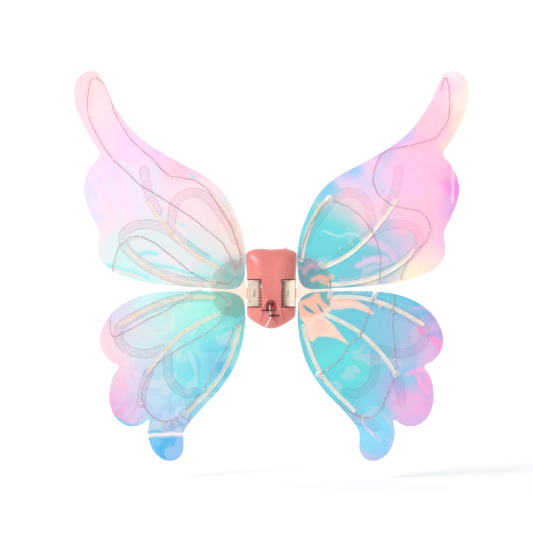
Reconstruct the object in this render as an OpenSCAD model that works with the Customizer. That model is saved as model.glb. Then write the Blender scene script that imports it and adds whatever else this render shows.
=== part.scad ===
// Flapping light-up fairy wings: a battery motor housing worn on the back, with two
// hinged flappers that each carry a plug-in film wing. Units are millimetres.
// +Z is up as worn, -Y is the outer face and the origin is the centre of the back face.

/* [Housing] */
// Height of the housing
housing_h = 141; // [125:1:175]
// Width of the housing across its shoulders
housing_w = 90; // [84:1:112]
// Depth of the housing from its back face to its crown
housing_d = 44; // [42:0.5:55]
// Depth of the back shell, up to the seam between the shells
back_shell_d = 16; // [15:0.5:18]
// Wall of both shells
wall = 2.2; // [1.6:0.1:2.8]
// Gap between parts that slide or fit loosely
slack = 0.3; // [0.2:0.05:0.5]

/* [Flappers and hinges] */
// Distance of each hinge pin from the middle
hinge_x = 20.5; // [20:0.1:22]
// Depth of the hinge pins below the back face
hinge_depth = 25; // [24.5:0.1:26]
// Diameter of the hinge pins
hinge_pin_d = 3; // [2:0.1:3.6]
// Radial gap between a pin or axle and its bore
bore_gap = 0.05; // [0.02:0.01:0.09]
// Forward lean of the wings at rest, degrees
wing_lean = 16; // [12:1:18]
// Swing of the wings to each side of rest, degrees
wing_swing = 20; // [10:1:20]
// Length of a flapper from its hinge
flapper_len = 22.5; // [20:0.1:23]
// Thickness of a flapper
flapper_t = 9; // [7:0.1:9.4]
// Height of a flapper
flapper_h = 46; // [40:0.5:48]
// Height of the flapper's middle
flapper_mid_z = -8; // [-10:0.5:-6]
// Number of hinge knuckles on a flapper
knuckles = 9; // [5:2:11]

/* [Wings] */
// Reach of a wing from its hinge to its tip
wing_reach = 330; // [250:5:420]
// Height of the upper wing tip above the hinge middle
wing_rise = 374; // [290:5:470]
// Distance from the hinge to the inner edge of the films
film_inner = 25.5; // [25.5:0.1:30]
// Thickness of the film
film_t = 0.6; // [0.4:0.1:1.2]
// Width of the stiffening stays
stay_w = 8; // [5:0.5:12]
// Thickness of the stays
stay_t = 1.6; // [1:0.1:3]
// Width of the embossed bands
band_w = 15; // [10:0.5:20]
// Thickness of the embossed bands
band_t = 0.6; // [0.4:0.1:1]
// Diameter of the light wire
wire_d = 1.6; // [1:0.1:2]
// Diameter of the light beads
bead_d = 4; // [3:0.1:5]
// Thickness of the wing's root plate
root_t = 2.2; // [1.6:0.1:3]
// Length of the plug-in tongue
tongue_len = 10; // [8:0.5:12]
// Height of the plug-in tongue
tongue_h = 18; // [12:0.5:24]

/* [Drive] */
// Tooth size of the gear train
gear_module = 0.6; // [0.5:0.05:0.65]
// Teeth of the motor pinion and of the idler's pinion
pinion_teeth = 12; // [12:1:14]
// Teeth of the large idler gear
idler_teeth = 26; // [22:1:26]
// Teeth of the crank gear
crank_teeth = 40; // [34:1:42]
// Thickness of a gear
gear_t = 3; // [2:0.1:3]
// Throw of the crank pin
crank_throw = 4; // [3:0.1:5]
// Pitch radius of the flapper's tooth sector
sector_r = 11.5; // [11:0.5:12]
// Height of the drive rack
rack_h = 8; // [5:0.5:8]
// Height at which the rack's underside runs
rack_z = 0; // [-0.5:0.1:1]

/* [Power] */
// Diameter of a cell
cell_d = 14.2; // [13.5:0.1:14.4]
// Length of a cell
cell_l = 50; // [44:0.5:50.5]
// Number of cells side by side
cells = 3; // [2:1:3]
// Height of the battery bay's middle
bay_z = -31; // [-33:0.5:-29]
// Travel of the power button
button_travel = 1.5; // [0.8:0.1:2]

/* [Hidden] */
$fn = 48;
eps = 0.01;

// ---- curves, strips, tubes and gears ----

function cr(a, b, c, d, t) = 0.5 * (2 * b + (c - a) * t + (2 * a - 5 * b + 4 * c - d) * t * t
  + (3 * b - a - 3 * c + d) * t * t * t);
// smooth closed and open curves through a few points, n steps between neighbours
function closed_curve(p, n) = let (m = len(p)) [for (i = [0 : m - 1]) for (j = [0 : n - 1])
  cr(p[(i + m - 1) % m], p[i], p[(i + 1) % m], p[(i + 2) % m], j / n)];
function open_curve(p, n) = let (m = len(p) - 1) concat([for (i = [0 : m - 1])
  for (j = [0 : n - 1]) cr(p[max(i - 1, 0)], p[i], p[i + 1], p[min(i + 2, m)], j / n)], [p[m]]);
function heading(p, i) = let (d = p[min(i + 1, len(p) - 1)] - p[max(i - 1, 0)]) d / norm(d);
function beside(p, i, d) = let (h = heading(p, i)) p[i] + d * [-h.y, h.x];
function last(list) = list[len(list) - 1];

// a flat strip of constant width along a curve, with round ends
module strip(p, w) {
  n = len(p) - 1;
  turn = [for (i = [0, n]) let (h = heading(p, i)) atan2(h.y, h.x)];
  polygon(concat([for (i = [0 : n]) beside(p, i, w / 2)],
    [for (a = [60 : -30 : -60]) p[n] + w / 2 * [cos(turn[1] + a), sin(turn[1] + a)]],
    [for (i = [0 : n]) beside(p, n - i, -w / 2)],
    [for (a = [240 : -30 : 120]) p[0] + w / 2 * [cos(turn[0] + a), sin(turn[0] + a)]]));
}

// a round tube swept along a 3-D route; side is a direction that the route never takes
module tube(p, d, side, sides = 8) {
  n = len(p);
  rings = [for (i = [0 : n - 1]) let (h = heading(p, i), a = cross(h, side),
    b = a / norm(a), c = cross(b, h)) for (k = [0 : sides - 1])
    p[i] + d / 2 * (cos(360 * k / sides) * b + sin(360 * k / sides) * c)];
  walls = [for (i = [0 : n - 2]) for (k = [0 : sides - 1]) let (m = (k + 1) % sides)
    [i * sides + k, i * sides + m, (i + 1) * sides + m, (i + 1) * sides + k]];
  polyhedron(rings, concat([[for (k = [0 : sides - 1]) sides - 1 - k]], walls,
    [[for (k = [0 : sides - 1]) (n - 1) * sides + k]]));
}

tooth_play = 0.16;  // backlash of each mesh, measured on the pitch circle
tooth_angle = 25;   // pressure angle
function inv_deg(r, rb) = let (k = sqrt(max(pow(r / rb, 2) - 1, 0))) k * 180 / PI - atan(k);
function flank(m, teeth, r) = let (rp = m * teeth / 2, rb = rp * cos(tooth_angle))
  90 / teeth - tooth_play / 4 / rp * 180 / PI + inv_deg(rp, rb) - inv_deg(max(r, rb), rb);
// points of one tooth that is centred on the angle mid
function tooth(m, teeth, mid) = let (rp = m * teeth / 2, rr = rp - 1.15 * m, rt = rp + 0.9 * m,
  steps = [rr, max(rp * cos(tooth_angle), rr + eps), rp, rt])
  concat([for (i = [0 : 3]) let (a = mid - flank(m, teeth, steps[i])) steps[i] * [cos(a), sin(a)]],
    [for (i = [3 : -1 : 0]) let (a = mid + flank(m, teeth, steps[i])) steps[i] * [cos(a), sin(a)]]);

// a spur gear blank with its first tooth on the +X axis
module gear(m, teeth, t, bore) {
  linear_extrude(t) difference() {
    polygon([for (i = [0 : teeth - 1]) each tooth(m, teeth, 360 * i / teeth)]);
    circle(d = bore);
  }
}

// ---- derived sizes and places ----

hinge_y = -hinge_depth;
seam_y = -back_shell_d;
half_w = housing_w / 2;
half_h = housing_h / 2;

// housing outline, seen from the front: half of it, from the middle of the top
waist_in = 2;           // how far the waist is inside the shoulders
lower_in = 2.5;         // how far the lower corners are inside the shoulders
corner_z = 25;          // height of the lower corners above the bottom
half_outline = [[0, half_h - 1.5], [14, half_h - 0.4], [27, half_h - 0.6], [37, half_h - 3.5],
  [half_w - 2, half_h - 7.5], [half_w, half_h - 15], [half_w - waist_in, 18],
  [half_w - waist_in - 0.3, -15], [half_w - lower_in, -half_h + corner_z],
  [half_w - 8, -half_h + 17], [24, -half_h + 8], [12, -half_h + 2.3], [0, -half_h]];
outline_pts = concat(half_outline, [for (i = [len(half_outline) - 2 : -1 : 1])
  [-half_outline[i].x, half_outline[i].y]]);
housing_outline = closed_curve(outline_pts, 3);

// notch in each side of the front shell for its flapper
notch_gap = 2;
notch_z0 = flapper_mid_z - flapper_h / 2 - notch_gap;
notch_z1 = flapper_mid_z + flapper_h / 2 + notch_gap;
knuckle_r = hinge_pin_d / 2 + 1.4;
notch_x = hinge_x - knuckle_r - 0.4;
swing_back = wing_swing - wing_lean;
notch_y = hinge_y + flapper_t / 2 * cos(swing_back) + flapper_len * sin(swing_back) + 0.5;
rib = 1.8;              // wall of the notch, and of the plates inside

// battery bay, cells upright and side by side
bay_w = cells * cell_d + 1;
bay_h = cell_l + 7;
bay_d = cell_d + 0.4;
bay_wall = 1.2;
door_t = 2;
bay_y = -door_t - slack;
bay_top = bay_z + bay_h / 2;
door_h = bay_h + 3;
door_w = bay_w + 4;
door_axis_z = bay_z + door_h / 2 - 2;
door_axis_y = -1.5;
door_screw_z = bay_z - bay_h / 2 + 1.6;
door_screw_d = 1.6;

// gear train levels and centres
gear_z = rack_z + rack_h + 2;
idler_z = gear_z + gear_t + 0.5;
plate_z = max(notch_z1 + rib + 0.7, idler_z + gear_t + 2);
plate_t = 2;
axle_d = 2;
crank_y = hinge_y;
idler_turn = 60;        // direction of the idler from the crank, seen from above
idler_reach = gear_module * (crank_teeth + pinion_teeth) / 2;
idler_x = idler_reach * cos(idler_turn);
idler_y = crank_y + idler_reach * sin(idler_turn);
motor_x = idler_x - gear_module * (idler_teeth + pinion_teeth) / 2;
motor_y = idler_y;
motor_w = 20;
motor_t = 15;
motor_l = 22;
motor_z = plate_z + plate_t;

// drive rack and its tooth sectors
rack_module = 1;
rack_pitch = PI * rack_module;
rack_half_w = hinge_x - sector_r;
rack_travel = sector_r * wing_swing * PI / 180;
rack_teeth = 5;
rack_len = (rack_teeth + 0.5) * rack_pitch;
keel_w = 4;
keel_h = 2;
keel_len = min(rack_len, bay_y - bay_d - bay_wall - rack_travel - slack - hinge_y + rack_len / 2);

// hinge pins run from the lower bearing plate to the gearbox plate
low_plate_t = 2.4;
low_plate_z = notch_z0 - rib - 0.3 - low_plate_t;
pin_z0 = low_plate_z;
pin_z1 = plate_z + plate_t;

// case screws, seen from the back
screw_places = [for (s = [-1, 1]) each [[s * 36, 38], [s * 31, -half_h + 23.5]]];
screw_d = 2.5;
screw_head_d = 5;
screw_len = 22;
boss_d = 7;

// strap slots: two across the top, two upright beside the battery bay
slot_depth = 8.8;
slot_short = 14;
slot_long = 26;
bar_d = 4;
top_slot = [24, half_h - 18];
low_slot = [33, -24];

// power button, in the top of the back shell
button_x = 25;
button_y = -12.6;
button_d = 6;
button_rise = 1.8;
board_y = -14;
board_t = 1.6;
board_h = 13;
board_z = half_h - 25;
switch_h = 3.5;

// ---- housing ----

crown_in = 30;          // how far the crown has drawn in at its very front
crown_power = 2.2;
crown_steps = 7;
function drawn_in(t) = crown_in * (1 - pow(1 - pow(t, crown_power), 1 / crown_power));

module box(a, b) {
  translate([min(a.x, b.x), min(a.y, b.y), min(a.z, b.z)])
    cube([abs(b.x - a.x), abs(b.y - a.y), abs(b.z - a.z)]);
}
// an outline drawn in the X-Z plane, made solid from y0 forward to y0 - t
module slab(y0, t) { translate([0, y0, 0]) rotate([90, 0, 0]) linear_extrude(t) children(); }
module both_sides() { children(); mirror([1, 0, 0]) children(); }
// a rod along Y or Z
module rod_y(x, z, y0, y1, d) {
  translate([x, max(y0, y1), z]) rotate([90, 0, 0]) cylinder(d = d, h = abs(y1 - y0));
}
module rod_z(x, y, z0, z1, d) { translate([x, y, min(z0, z1)]) cylinder(d = d, h = abs(z1 - z0)); }

// the crowned front, drawn in by a wall's thickness when inner is set
module crown(inner) {
  depth = housing_d - back_shell_d - inner;
  intersection() {
    for (i = [0 : crown_steps - 1]) hull() for (t = [i / crown_steps, (i + 1) / crown_steps])
      slab(seam_y - depth * t + eps, eps)
        offset(r = -drawn_in(t) - inner, $fn = 24) polygon(housing_outline);
    slab(seam_y + eps, housing_d) offset(r = -inner, $fn = 24) polygon(housing_outline);
  }
}
module notch(grow) {
  box([notch_x - grow, notch_y + grow, notch_z0 - grow], [housing_w, -housing_d - 5, notch_z1 + grow]);
}

// arch-shaped pocket in the front where the leads come out
arch_w = 19;
arch_top = -19;
arch_bottom = -39;
arch_lip = 4.5;         // width of the raised lip round the pocket
lip_y = -housing_d - 0.8;
module arch(grow, bottom) {
  intersection() {
    translate([0, arch_top - arch_w / 2]) circle(d = arch_w + 2 * grow, $fn = 40);
    translate([-arch_w, arch_top - arch_w / 2]) square([2 * arch_w, arch_w + grow]);
  }
  translate([-arch_w / 2 - grow, bottom]) square([arch_w + 2 * grow, arch_top - arch_w / 2 - bottom]);
}
lens_z = 19;
lens_d = 4;

module front_shell() {
  color("lightsalmon") difference() {
    union() {
      difference() {
        crown(0);
        crown(wall);
      }
      intersection() {
        crown(0);
        union() {
          both_sides() notch(rib);
          for (p = screw_places) rod_y(p.x, p.y, seam_y, -housing_d, boss_d);
          slab(seam_y - 14, housing_d) arch(rib, arch_bottom - rib);
        }
      }
      slab(-housing_d + 2.4, 3.2) difference() {
        arch(arch_lip, arch_bottom - 12);
        arch(0, arch_bottom - 13);
      }
    }
    both_sides() notch(0);
    both_sides() box([notch_x - 14, hinge_y - sector_r - 2, rack_z - 0.8], [notch_x + 1, seam_y + 2, rack_z + rack_h + 0.8]);
    both_sides() rod_z(hinge_x, hinge_y, low_plate_z - 1, plate_z + 1, hinge_pin_d + 0.4);
    box([-bay_w / 2 - bay_wall - slack, 0, bay_z - bay_h / 2 - bay_wall - slack],
      [bay_w / 2 + bay_wall + slack, -bay_d - door_t - slack - bay_wall - slack, bay_top + bay_wall + slack]);
    slab(seam_y - 16, housing_d) arch(0, arch_bottom);
    slab(seam_y - 10, 10) translate([0, arch_top - 9]) square([9, 5], center = true);
    for (p = screw_places) rod_y(p.x, p.y, seam_y + 1, 1 - screw_len, screw_d + 0.3);
    rod_y(0, lens_z, seam_y, -housing_d - 5, lens_d + 0.1);
    slab(seam_y - 20, housing_d) for (p = [lead_foot_red, lead_foot_white]) translate([p.x, p.z]) circle(d = 3.4);
  }
}

module back_shell() {
  color("salmon") both_sides() strap_bars();
  color("salmon") difference() {
    box([-5, bay_y, bay_z - bay_h / 2 - eps], [5, bay_y - 2.4, bay_z - cell_l / 2 - slack]);
    rod_y(0, door_screw_z, 0, -8, door_screw_d + 0.6);
  }
  color("salmon") difference() {
    union() {
      difference() {
        slab(0, back_shell_d) polygon(housing_outline);
        slab(-wall, back_shell_d) offset(delta = -wall) polygon(housing_outline);
      }
      box([-bay_w / 2 - bay_wall, -wall, bay_z - bay_h / 2 - bay_wall],
        [bay_w / 2 + bay_wall, bay_y - bay_d - bay_wall, bay_top + bay_wall]);
      both_sides() strap_cup();
      for (p = screw_places) rod_y(p.x, p.y, -1, seam_y, boss_d);
      intersection() {
        rod_z(button_x, button_y, half_h - 8, half_h - 2, button_d + 4);
        box([button_x - button_d, 0, 0], [button_x + button_d, seam_y, half_h]);
      }
    }
    box([-bay_w / 2, 1, bay_z - bay_h / 2], [bay_w / 2, bay_y - bay_d, bay_top]);
    box([-door_w / 2 - slack, 1, bay_z - door_h / 2 - slack],
      [door_w / 2 + slack, bay_y, door_axis_z + 2.2]);
    translate([-door_w / 2 - 3, door_axis_y, door_axis_z]) rotate([0, 90, 0])
      cylinder(d = 1.6 + 2 * bore_gap, h = door_w + 6);
    translate([-door_w / 2 - slack, door_axis_y, door_axis_z]) rotate([0, 90, 0])
      cylinder(d = 3 + 2 * slack, h = door_w + 2 * slack);
    for (p = screw_places) {
      rod_y(p.x, p.y, 1, -4, screw_head_d + 2 * slack);
      rod_y(p.x, p.y, 0, seam_y - 1, screw_d + 2 * slack);
    }
    both_sides() {
      translate([top_slot.x, 1, top_slot.y]) strap_hole(slot_long, slot_short);
      translate([low_slot.x, 1, low_slot.y]) strap_hole(slot_short, slot_long);
    }
    rod_z(button_x, button_y, half_h - 10, half_h + 3, button_d + 2 * bore_gap);
  }
}
module strap_hole(w, h) { translate([-w / 2, -slot_depth - 1, -h / 2]) cube([w, slot_depth + 1, h]); }
module strap_bars() {
  translate([top_slot.x - slot_long / 2 - eps, -bar_d / 2, top_slot.y]) rotate([0, 90, 0])
    cylinder(d = bar_d, h = slot_long + 2 * eps);
  rod_z(low_slot.x, -bar_d / 2, low_slot.y - slot_long / 2 - eps, low_slot.y + slot_long / 2 + eps, bar_d);
}
module strap_cup() {
  box([top_slot.x - slot_long / 2 - bay_wall, -1, top_slot.y - slot_short / 2 - bay_wall],
    [top_slot.x + slot_long / 2 + bay_wall, -slot_depth - bay_wall, top_slot.y + slot_short / 2 + bay_wall]);
  box([low_slot.x - slot_short / 2 - bay_wall, -1, low_slot.y - slot_long / 2 - bay_wall],
    [low_slot.x + slot_short / 2 + bay_wall, -slot_depth - bay_wall, low_slot.y + slot_long / 2 + bay_wall]);
}
module battery_door() {
  top = door_axis_z - 1.5 - slack;
  color("salmon") difference() {
    union() {
      box([-door_w / 2, 0, bay_z - door_h / 2], [door_w / 2, -door_t, top]);
      box([-door_w / 2 + 4, 0, top - 1], [door_w / 2 - 4, -door_t, door_axis_z - 0.6]);
      translate([-door_w / 2, door_axis_y, door_axis_z]) rotate([0, 90, 0]) cylinder(d = 3, h = door_w);
      translate([-door_w / 2 - 2, door_axis_y, door_axis_z]) rotate([0, 90, 0])
        cylinder(d = 1.6, h = door_w + 4);
    }
    rod_y(0, door_screw_z, 1, -door_t - 1, door_screw_d + 0.2);
    rod_y(0, door_screw_z, 1, -1.2, 3.4);
  }
}
module battery_door_screw() {
  color("silver") difference() {
    union() {
      rod_y(0, door_screw_z, -1.2, 0, 3.2);
      rod_y(0, door_screw_z, -1.1, -4.6, door_screw_d);
    }
    box([-0.3, 1, door_screw_z - 1.2], [0.3, -0.5, door_screw_z + 1.2]);
  }
}
module case_screws() {
  color("silver") for (p = screw_places) difference() {
    union() {
      rod_y(p.x, p.y, -1.4, -4, screw_head_d);
      rod_y(p.x, p.y, -3.9, 1.5 - screw_len, screw_d - 0.1);
    }
    translate([p.x - 0.35, -2.2, p.y - 1.6]) cube([0.7, 2, 3.2]);
    translate([p.x - 1.6, -2.2, p.y - 0.35]) cube([3.2, 2, 0.7]);
  }
}
cell_x = [for (i = [0 : cells - 1]) (i - (cells - 1) / 2) * (cell_d + 0.2)];
cell_z0 = bay_z - cell_l / 2;
cell_y = bay_y - cell_d / 2 - 0.1;
module battery_cells() {
  color("khaki") for (x = cell_x) {
    rod_z(x, cell_y, cell_z0, cell_z0 + cell_l - 1.2, cell_d);
    rod_z(x, cell_y, cell_z0 + cell_l - 1.3, cell_z0 + cell_l, 5.4);
  }
}
module battery_springs() {
  color("silver") for (x = cell_x) translate([x, cell_y, bay_z - bay_h / 2 + 0.5])
    rotate_extrude() for (k = [0 : 2]) translate([2 + 0.45 * k, 1.35 - 0.45 * k]) circle(d = 0.7, $fn = 20);
}
module battery_plates() {
  color("silver") for (x = cell_x) for (z = [bay_z - bay_h / 2, bay_top - 0.5])
    box([x - 6, cell_y - 4.4, z], [x + 6, cell_y + 4.4, z + 0.5]);
}
module circuit_board() {
  color("seagreen") difference() {
    box([-30, board_y, board_z], [34, board_y - board_t, board_z + board_h]);
    for (x = [-26, 12]) rod_y(x, board_z + 3, board_y + 1, board_y - board_t - 1, 2.4);
  }
}
module tact_switch() {
  color("dimgray") {
    box([button_x - 3, button_y + 2, board_z + board_h], [button_x + 3, board_y, board_z + board_h + switch_h]);
    rod_z(button_x, button_y, board_z + board_h + switch_h - eps, board_z + board_h + switch_h + 0.8, 2.4);
  }
}
module power_button() {
  color("white") rod_z(button_x, button_y, half_h - 5.5, half_h + button_rise, button_d);
}
module indicator_lens() {
  color("mistyrose") {
    rod_y(0, lens_z, -housing_d + 4, -housing_d - 0.5, lens_d);
    rod_y(0, lens_z, -housing_d + 5.5, -housing_d + wall + 0.9, lens_d + 2);
  }
}

// ---- drive ----

module motor_can() {
  color("lightgray") {
    intersection() {
      rod_z(motor_x, motor_y, motor_z, motor_z + motor_l, motor_w);
      box([motor_x - motor_w, motor_y - motor_t / 2, motor_z], [motor_x + motor_w, motor_y + motor_t / 2, motor_z + motor_l]);
    }
    rod_z(motor_x, motor_y, motor_z + motor_l - eps, motor_z + motor_l + 1.5, 6);
  }
}
module motor_shaft() {
  color("silver") rod_z(motor_x, motor_y, idler_z, motor_z - 0.1, axle_d);
}
// angle that puts a gap of a gear on the line towards the angle a
function gap_at(a, teeth) = a + 180 / teeth;
module motor_pinion() {
  color("gold") translate([motor_x, motor_y, idler_z]) rotate(gap_at(0, pinion_teeth))
    gear(gear_module, pinion_teeth, gear_t, axle_d);
}
module idler_gear() {
  color("ivory") translate([idler_x, idler_y, 0]) {
    translate([0, 0, idler_z]) rotate(180)
      gear(gear_module, idler_teeth, gear_t - 0.2, axle_d + 2 * bore_gap);
    translate([0, 0, gear_z]) rotate(idler_turn + 180)
      gear(gear_module, pinion_teeth, idler_z - gear_z + 0.2, axle_d + 2 * bore_gap);
  }
}
module crank_gear() {
  color("ivory") translate([0, crank_y, gear_z]) difference() {
    rotate(gap_at(idler_turn, crank_teeth)) gear(gear_module, crank_teeth, gear_t, axle_d + 2 * bore_gap);
    translate([0, -crank_throw, -1]) cylinder(d = 1.6, h = gear_t + 2);
  }
}
module crank_pin() {
  color("silver") rod_z(0, crank_y - crank_throw, rack_z + rack_h + 0.3, gear_z + gear_t, 1.6);
}
module gear_axles() {
  color("silver") {
    rod_z(idler_x, idler_y, gear_z - 0.3, plate_z + plate_t, axle_d);
    rod_z(0, crank_y, gear_z + 0.3, plate_z + plate_t, axle_d);
  }
}
module gearbox_plate() {
  color("white") difference() {
    union() {
      box([-hinge_x - 4, hinge_y - 4, plate_z], [hinge_x + 4, hinge_y + 4, plate_z + plate_t]);
      box([-13, hinge_y - 8, plate_z], [13, -wall - 1.2, plate_z + plate_t]);
    }
    both_sides() rod_z(hinge_x, hinge_y, plate_z - 1, plate_z + plate_t + 1, hinge_pin_d);
    rod_z(idler_x, idler_y, plate_z - 1, plate_z + plate_t + 1, axle_d);
    rod_z(0, crank_y, plate_z - 1, plate_z + plate_t + 1, axle_d);
    rod_z(motor_x, motor_y, plate_z - 1, plate_z + plate_t + 1, axle_d + 1);
  }
}
module lower_bearing_plate() {
  color("white") difference() {
    box([-hinge_x - 4, hinge_y - 4, low_plate_z], [hinge_x + 4, hinge_y + 4, low_plate_z + low_plate_t]);
    both_sides() rod_z(hinge_x, hinge_y, low_plate_z - 1, low_plate_z + low_plate_t + 1, hinge_pin_d);
    box([-arch_w / 2 - rib - 0.5, hinge_y - 5, low_plate_z - 1], [arch_w / 2 + rib + 0.5, hinge_y - 4 + 1, low_plate_z + 4]);
  }
}
module hinge_pins() { color("silver") both_sides() rod_z(hinge_x, hinge_y, pin_z0, pin_z1, hinge_pin_d); }

rack_root = rack_half_w - 1.2 * rack_module;
module drive_rack() {
  flat = rack_pitch / 4 - tooth_play / 4;
  tip = flat - 0.8 * rack_module * tan(tooth_angle);
  base = flat + 1.2 * rack_module * tan(tooth_angle);
  color("gainsboro") translate([0, hinge_y, 0]) {
    translate([0, 0, rack_z]) linear_extrude(rack_h) difference() {
      union() {
        square([2 * rack_root + eps, rack_len], center = true);
        both_sides() for (k = [0 : rack_teeth - 1]) translate([rack_root, (k - (rack_teeth - 1) / 2 ) * rack_pitch])
          polygon([[0, -base], [2 * rack_module, -tip], [2 * rack_module, tip], [0, base]]);
      }
      translate([0, -crank_throw]) square([2 * crank_throw + 2.4, 2.2], center = true);
    }
    translate([-keel_w / 2, -rack_len / 2, rack_z - keel_h]) cube([keel_w, keel_len, keel_h + eps]);
  }
}
module rack_guide() {
  z0 = rack_z - keel_h - 0.3;
  color("white") difference() {
    box([-13, hinge_y - rack_len / 2 - rack_travel - 2, z0], [13, notch_y - 0.3, z0 + keel_h]);
    box([-keel_w / 2 - 0.1, hinge_y - rack_len / 2 - rack_travel - 0.5, z0 - 1], [keel_w / 2 + 0.1, 0, z0 + 4]);
  }
}

// leads: points chosen by hand, from the pocket over the lip and back into the front
lead_d = 1.8;
lead_y = lip_y - lead_d / 2 - 0.3;
lead_foot_red = [11, 0, -62];
lead_foot_white = [-9, 0, -66];
red_route = [[2, -34, -28], [2.2, -38, -28.5], [3, -42, -31], [4, -45, -35], [3.4, lead_y, -40], [1.4, lead_y, -45],
  [1.2, lead_y, -49], [4, lead_y, -53], [8, lead_y + 0.5, -57], [10.5, lead_y + 1.6, -60.5], [11, -43, -62], [11, -40, -62]];
white_route = [[-2, -34, -28], [-2.2, -38, -28.5], [-3, -42, -31], [-3, -45, -35], [-2, lead_y, -40], [-1, lead_y, -45],
  [-1.2, lead_y, -49], [-3.5, lead_y, -54], [-6, lead_y + 0.4, -59], [-8.6, lead_y + 1.6, -64.2], [-9, -43, -66], [-9, -40, -66]];
module red_lead() { color("crimson") tube(open_curve(red_route, 3), lead_d, [1, 0.2, 0]); }
module white_lead() { color("white") tube(open_curve(white_route, 3), lead_d, [1, 0.2, 0]); }
tie_z = -47;
tag_z = -37.5;          // a second tie, higher up, with its end left long
module cable_tie() {
  color("black") {
    translate([0, lead_y, tie_z - 1.3]) linear_extrude(2.6) difference() {
      square([7.4, 4.4], center = true);
      square([5.4, 2.4], center = true);
    }
    translate([0.5, lead_y + 0.4, tag_z - 1]) linear_extrude(2) difference() {
      square([11.2, 4.8], center = true);
      square([9.6, 3.2], center = true);
    }
    translate([-18, lead_y - 2, tag_z - 1]) cube([14, 0.8, 2]);
    translate([3.6, lead_y - 1.6, tie_z - 1.7]) cube([3, 3.2, 3.4]);
    translate([6.4, lead_y - 0.4, tie_z - 1]) cube([8, 0.8, 2]);
  }
}

// ---- flappers ----

// places a side's wing parts: u along the wing from the hinge, v behind it, z up
module on_wing(side) {
  if (side > 0) lean() children();
  else mirror([1, 0, 0]) lean() children();
}
module lean() { translate([hinge_x, hinge_y, 0]) rotate([0, 0, -wing_lean]) children(); }

flapper_z0 = flapper_mid_z - flapper_h / 2;
knuckle_h = (flapper_h + 0.2 * (knuckles - 1)) / (2 * knuckles - 1);
knuckle_pitch = (flapper_h - knuckle_h) / (knuckles - 1);
tongue_u = flapper_len - tongue_len;
pocket_gap = 0.2;
module sector_teeth() {
  teeth = 2 * sector_r / rack_module;
  rotate(180 + wing_lean) polygon(concat([[0, 0]],
    [for (k = [-3 : 2]) each tooth(rack_module, teeth, 360 / teeth * (k + 0.5))]));
}
module flapper(side) {
  color("ivory") on_wing(side) difference() {
    union() {
      for (k = [0 : knuckles - 1])
        translate([0, 0, flapper_z0 + k * knuckle_pitch]) {
          cylinder(r = knuckle_r, h = knuckle_h);
          translate([0, -knuckle_r, 0]) cube([knuckle_r + 1, 2 * knuckle_r, knuckle_h]);
        }
      translate([knuckle_r + 0.4, -flapper_t / 2, flapper_z0]) cube([flapper_len - knuckle_r - 0.4, flapper_t, flapper_h]);
      translate([0, 0, rack_z]) linear_extrude(rack_h) sector_teeth();
    }
    translate([0, 0, flapper_z0 - 1]) cylinder(d = hinge_pin_d + 2 * bore_gap, h = flapper_h + 2);
    translate([tongue_u - 0.4, -root_t / 2 - pocket_gap, flapper_mid_z - tongue_h / 2 - pocket_gap])
      cube([flapper_len, root_t + 2 * pocket_gap, tongue_h + 2 * pocket_gap]);
    contact_strips();
    translate([9.3, -flapper_t, flapper_mid_z - 6]) cube([3, flapper_t / 2 + 2.6, 11.6]);
    translate([19.2, 0, flapper_mid_z - 14.6]) rotate([90, 0, 0]) cylinder(d = 2, h = flapper_t);
  }
}
module contacts(side) {
  color("gold") on_wing(side) contact_strips();
}
module contact_strips() {
  for (z = [-4, 4])
    translate([tongue_u + 1, root_t / 2 + pocket_gap, flapper_mid_z + z - 1.5]) cube([7, 0.4, 3]);
}

// ---- wings ----

span_k = (wing_reach - film_inner) / 304.5;
rise_k = wing_rise / 374;
// a point of the wing: x outward from the hinge and y up, at the nominal size
function wp(p) = [film_inner + (p.x - film_inner) * span_k, p.y * rise_k];
function wps(list) = [for (p = list) wp(p)];
// a solid between depths v0 and v1 behind the film's middle plane
module layer(v0, v1) { translate([0, v1, 0]) rotate([90, 0, 0]) linear_extrude(v1 - v0) children(); }

upper_outline = wps([[25.8, 36], [26, 64], [32, 98], [43, 127], [59, 158], [80, 182], [106, 200],
  [135, 214], [165, 230], [195, 247], [222, 268], [245, 294], [263, 322], [276, 350], [286, 369],
  [300, 374], [316, 369], [327, 354], [330, 332], [325, 306], [313, 280], [298, 253], [285, 232],
  [299, 212], [309, 193], [313, 170], [308, 145], [297, 120], [287, 100], [287, 82], [289, 65],
  [284, 49], [271, 36], [248, 24], [212, 13], [170, 6], [128, 2.5], [88, 0.6], [56, -1.2], [38, 3], [29, 16]]);
lower_outline = wps([[27, -31], [34, -15], [54, -6.2], [95, -4], [140, -3.6], [172, -4.8], [200, -8.5],
  [226, -16.5], [248, -28], [268, -45], [281, -68], [285, -88], [280, -108], [267, -124], [252, -133],
  [263, -152], [268, -175], [267, -198], [259, -219], [245, -232], [229, -237], [212, -234],
  [198, -226], [200, -245], [198, -263], [190, -281], [177, -293], [161, -298], [146, -293],
  [137.5, -280], [137, -262], [136, -247], [127, -233], [105, -208], [79, -183], [57, -155],
  [41, -126], [32, -97], [27.5, -72], [25.9, -48]]);
module upper_shape() { polygon(closed_curve(upper_outline, 4)); }
module lower_shape() { polygon(closed_curve(lower_outline, 4)); }

film_v = film_t / 2;
module upper_film(side) { color("plum") on_wing(side) layer(-film_v, film_v) upper_shape(); }
module lower_film(side) { color("paleturquoise") on_wing(side) layer(-film_v, film_v) lower_shape(); }

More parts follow.
